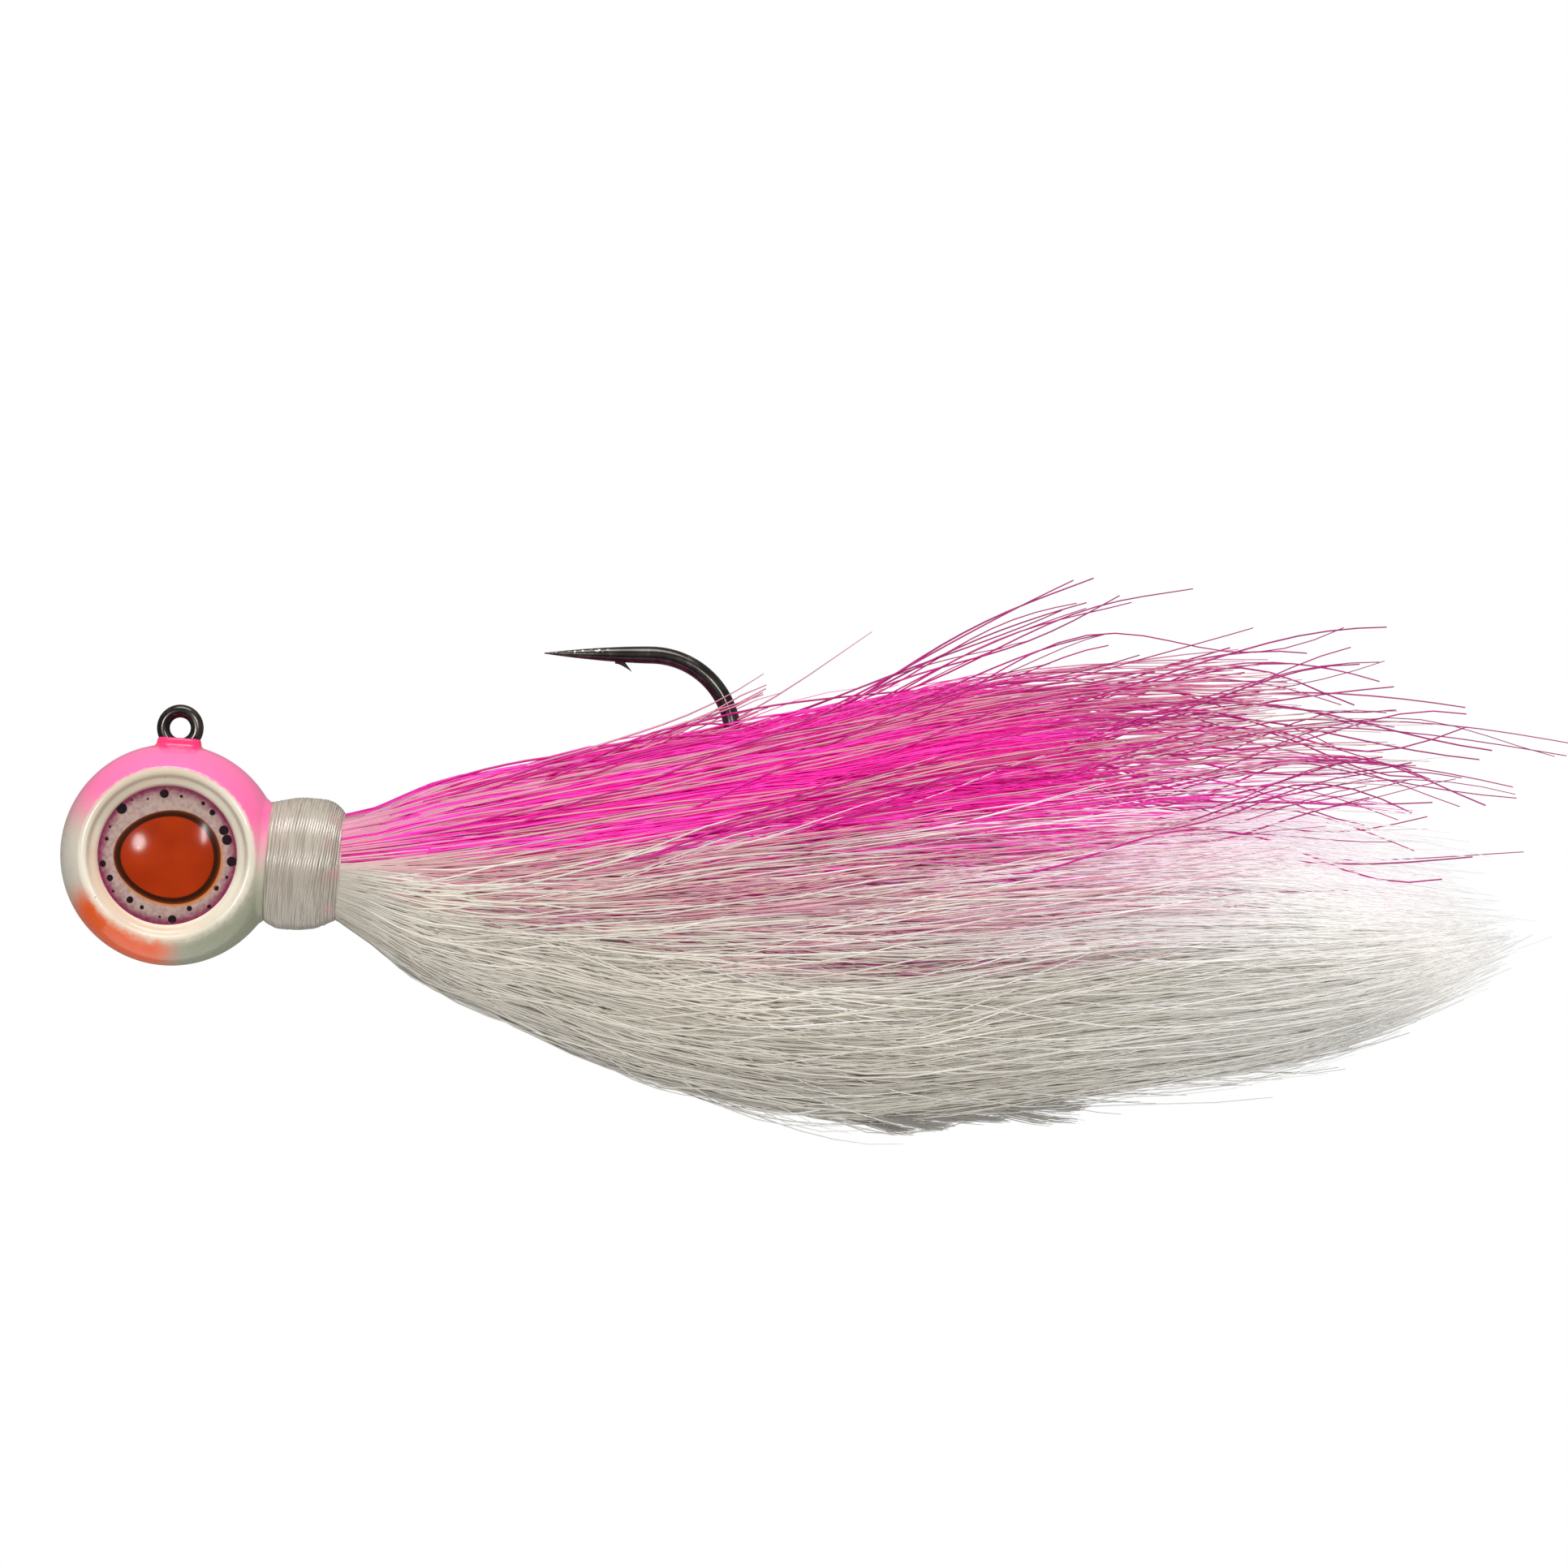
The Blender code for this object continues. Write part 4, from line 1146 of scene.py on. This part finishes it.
# %% Bunches
BUNCHES = (("pink_crest", (0.0, 0.8), "pink", 800), ("pink_flank", (0.75, 1.62), "pink", 1000),
           ("white_flank", (1.55, 2.4), "white", 1100), ("white_belly", (2.3, 3.14), "white", 1100))
EVEN_HAIR = {
    "pink": {
        "Pink": 1.0, "Tint Start": 0.2, "Tint End": 0.66, "Border Tint": 0.15, "Clumping": 0.6,
        "Core": 0.4, "Fullness": 0.6, "Shortest": 0.46, "Spread": 0.25, "Wander": 2 * MM,
        "Drift": 0.22, "Radius": 0.11 * MM, "Waves": 2.0, "Wave Height": 0.5 * MM,
        "Material": pink_hair},
    "white": {
        "Pink": 0.0, "Tint Start": 0.1, "Tint End": 0.62, "Border Tint": 0.42, "Clumping": 0.4,
        "Core": 0.4, "Fullness": 0.5, "Shortest": 0.7, "Spread": 0.26, "Wander": 0.5 * MM,
        "Drift": 0.3, "Radius": 0.11 * MM, "Waves": 2.0, "Wave Height": 0.6 * MM,
        "Material": white_hair},
}

# %% [markdown]
# ## Loose hair
# Real hair is less even than a bunch, so smaller bunches of the same tree go over it with other
# inputs: pale locks where the dye didn't take, a lock that lifts in front of the hook, hairs along
# the edges and across the border, and strays that rise off the top. Short pointed tufts end under the
# belly, each at its own share of the tail's length, with a kick downwards in mm.

# %% Loose hair
LOOSE_BUNCHES = {
    "pale_locks": ("pink", {
        "Strands": 58, "Fan Start": 0.35, "Fan End": 1.4, "Lift": 0.3, "Core": 0.99, "Outer": 1.03,
        "Columns": 5.0, "Rows": 60.0, "Clumping": 0.9, "Radius": 0.15 * MM, "Tint Start": 0.76,
        "Tint End": 0.87, "Wander": 1.5 * MM, "Wave Height": 0.4 * MM, "Shortest": 0.6,
        "Spread": 0.34}),
    "lifted_strands": ("pink", {
        "Strands": 10, "Fan Start": 0.3, "Fan End": 0.5, "Lift": 0.4, "Core": 0.99, "Outer": 1.03,
        "Columns": 1.0, "Rows": 60.0, "Clumping": 0.93, "Radius": 0.2 * MM, "Tint Start": 0.8,
        "Tint End": 0.87, "Wander": 0.5 * MM, "Rise": 1.4, "Shortest": 0.4, "Spread": 0.07}),
    "crossing_hairs": ("pink", {
        "Strands": 14, "Fan Start": 1.45, "Fan End": 1.75, "Lift": 0.75, "Core": 0.99, "Outer": 1.04,
        "Radius": 0.13 * MM, "Tint Start": 0.92, "Tint End": 0.97, "Wander": 1.5 * MM,
        "Shortest": 0.62, "Spread": 0.3}),
    "edge_hairs": ("pink", {
        "Strands": 18, "Fan Start": 0.0, "Fan End": 0.35, "Core": 0.99, "Outer": 1.07,
        "Tint Start": 0.3, "Tint End": 0.6, "Wander": 2 * MM, "Drift": 0.35, "Shortest": 0.5,
        "Spread": 0.3}),
    "border_hairs": ("pink", {
        "Strands": 170, "Fan Start": 1.58, "Fan End": 1.95, "Core": 0.97, "Tint Start": 0.86,
        "Tint End": 0.96, "Wander": 1.5 * MM, "Drift": 0.2, "Shortest": 0.5, "Spread": 0.3,
        "Wave Height": 0.8 * MM}),
    "under_hairs": ("pink", {
        "Strands": 170, "Fan Start": 1.55, "Fan End": 1.97, "Core": 0.72, "Outer": 0.93,
        "Fullness": 1.0, "Tint Start": 0.0, "Tint End": 0.15, "Wander": 0.8 * MM, "Drift": 0.2,
        "Shortest": 0.45, "Spread": 0.2}),
    "cross_hairs": ("white", {
        "Strands": 240, "Fan Start": 1.55, "Fan End": 2.55, "Core": 0.99, "Outer": 1.03,
        "Radius": 0.12 * MM, "Tint Start": 0.4, "Tint End": 0.66, "Wander": 1.1 * MM, "Drift": 0.7,
        "Shortest": 0.4, "Spread": 0.55, "Wave Height": 1.1 * MM}),
    # Low tints make these hairs grey: painted shade along the belly.
    "belly_edge_hairs": ("white", {
        "Strands": 24, "Fan Start": 2.75, "Fan End": 3.1, "Core": 0.97, "Outer": 1.0,
        "Tint Start": 0.0, "Tint End": 0.3, "Wander": 0.2 * MM, "Drift": 0.1, "Shortest": 0.3,
        "Spread": 0.3}),
    "rising_hairs": ("pink", {
        "Strands": 14, "Fan Start": 0.0, "Fan End": 0.6, "Core": 0.93, "Columns": 6.0, "Rows": 30.0,
        "Clumping": 0.2, "Radius": 0.13 * MM, "Tip": 0.5, "Tint Start": 0.0, "Tint End": 0.2,
        "Wander": 1.5 * MM, "Rise": 1.15, "Shortest": 0.68, "Spread": 0.32, "Points": 36,
        "Wave Height": 0.9 * MM}),
    "stray_hairs": ("pink", {
        "Strands": 30, "Fan Start": 0.3, "Fan End": 1.45, "Core": 0.6, "Columns": 8.0, "Rows": 4.0,
        "Clumping": 0.4, "Radius": 0.14 * MM, "Tip": 0.5, "Tint Start": 0.0, "Tint End": 0.14,
        "Wander": 2.5 * MM, "Drift": 0.3, "Rise": 0.8, "Shortest": 0.82, "Spread": 0.24,
        "Points": 36, "Wave Height": 2.5 * MM}),
}
# The tufts take the lowest tints, and their grey is painted shade under the belly.
BELLY_TUFTS = ((0.505, 46, -2.2), (0.55, 30, -2.0), (0.62, 18, -3.2), (0.65, 34, -2.0))
for count, (end, strands, down) in enumerate(BELLY_TUFTS, 1):
    LOOSE_BUNCHES[f"belly_tuft_{count}"] = ("white", {
        "Strands": strands, "Fan Start": 2.98, "Fan End": 3.12, "Core": 0.99, "Outer": 1.0,
        "Tint Start": 0.0, "Tint End": 0.06, "Columns": 1.0, "Rows": 60.0, "Clumping": 0.82,
        "Wander": 0.1 * MM, "Drift": 0.02, "Kick": down * MM, "Radius": 0.13 * MM,
        "Shortest": end - 0.07, "Spread": 0.09, "Tip": 0.2, "Wave Height": 0.03 * MM, "Points": 36})
print(f"{len(BUNCHES)} bunches and {len(LOOSE_BUNCHES)} kinds of loose hair to a side")

# %% [markdown]
# ## Tying the hair on
# Thread holds the roots still, so a bunch can't turn as a stiff board does. Here each bunch's
# placement is only baked into its mesh. The side away from the camera has a third fewer hairs in its
# bunches. Every bunch has a seed of its own, so that no two look alike.

# %% Tie on
SEED_STEP = 40


def tie_on(piece):
    """The bunch's placement is baked into its mesh."""
    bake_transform(piece)


seed_count = 0
hair_faces = 0
for side_name, side in SIDES:
    for title, (fan_start, fan_end), colour, strands in BUNCHES:
        seed_count += SEED_STEP
        bunch = grow(f"{title}_hairs_{side_name}", hair_tree, EVEN_HAIR[colour] | {
            "Strands": strands if side < 0 else strands * 2 // 3, "Seed": seed_count,
            "Side": float(side), "Fan Start": fan_start, "Fan End": fan_end})
        tie_on(bunch)
        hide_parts(f"{title}_{side_name}")
        hair_faces += len(bunch.data.polygons)
    for title, (colour, values) in LOOSE_BUNCHES.items():
        seed_count += SEED_STEP
        loose = {"Clumping": 0.0, "Border Tint": 0.0, "Seed": seed_count, "Side": float(side)}
        extra = grow(f"{title}_{side_name}", hair_tree, EVEN_HAIR[colour] | loose | values)
        tie_on(extra)
        hair_faces += len(extra.data.polygons)
print(f"hair: {hair_faces} faces")

# %% [markdown]
# ## Hidden pieces
# The thread's first layer and the tied ends of the hair lie under the wrap. They keep their plain
# solids. The first layer takes the floss, and the tied ends show streaks of hair along the shank.

# %% Hidden pieces
def tied_finish(name, tone, deep):
    """Hair pressed flat under the thread."""
    made, tree, shader = finish(name, roughness=0.45)
    fibre, = from_group(tree, fibre_streaks, Scale=(260.0, 5200.0, 5200.0))
    plug(paint_over(tone, deep, fibre.ease(0.4, 0.65)), shader.inputs["Base Color"])
    return made


tied_pink = tied_finish("tied_pink_hair", linear(240, 40, 180), linear(200, 8, 136))
tied_white = tied_finish("tied_white_hair", linear(234, 230, 221), linear(196, 191, 182))
nodes["thread_underwrap"].data.materials.clear()
nodes["thread_underwrap"].data.materials.append(floss)
for side_name, _ in SIDES:
    for colour, material in (("pink", tied_pink), ("white", tied_white)):
        tied = nodes[f"{colour}_tied_ends_{side_name}"]
        tied.data.materials.clear()
        tied.data.materials.append(material)
print("hidden: the first layer of thread and four bundles of tied ends")
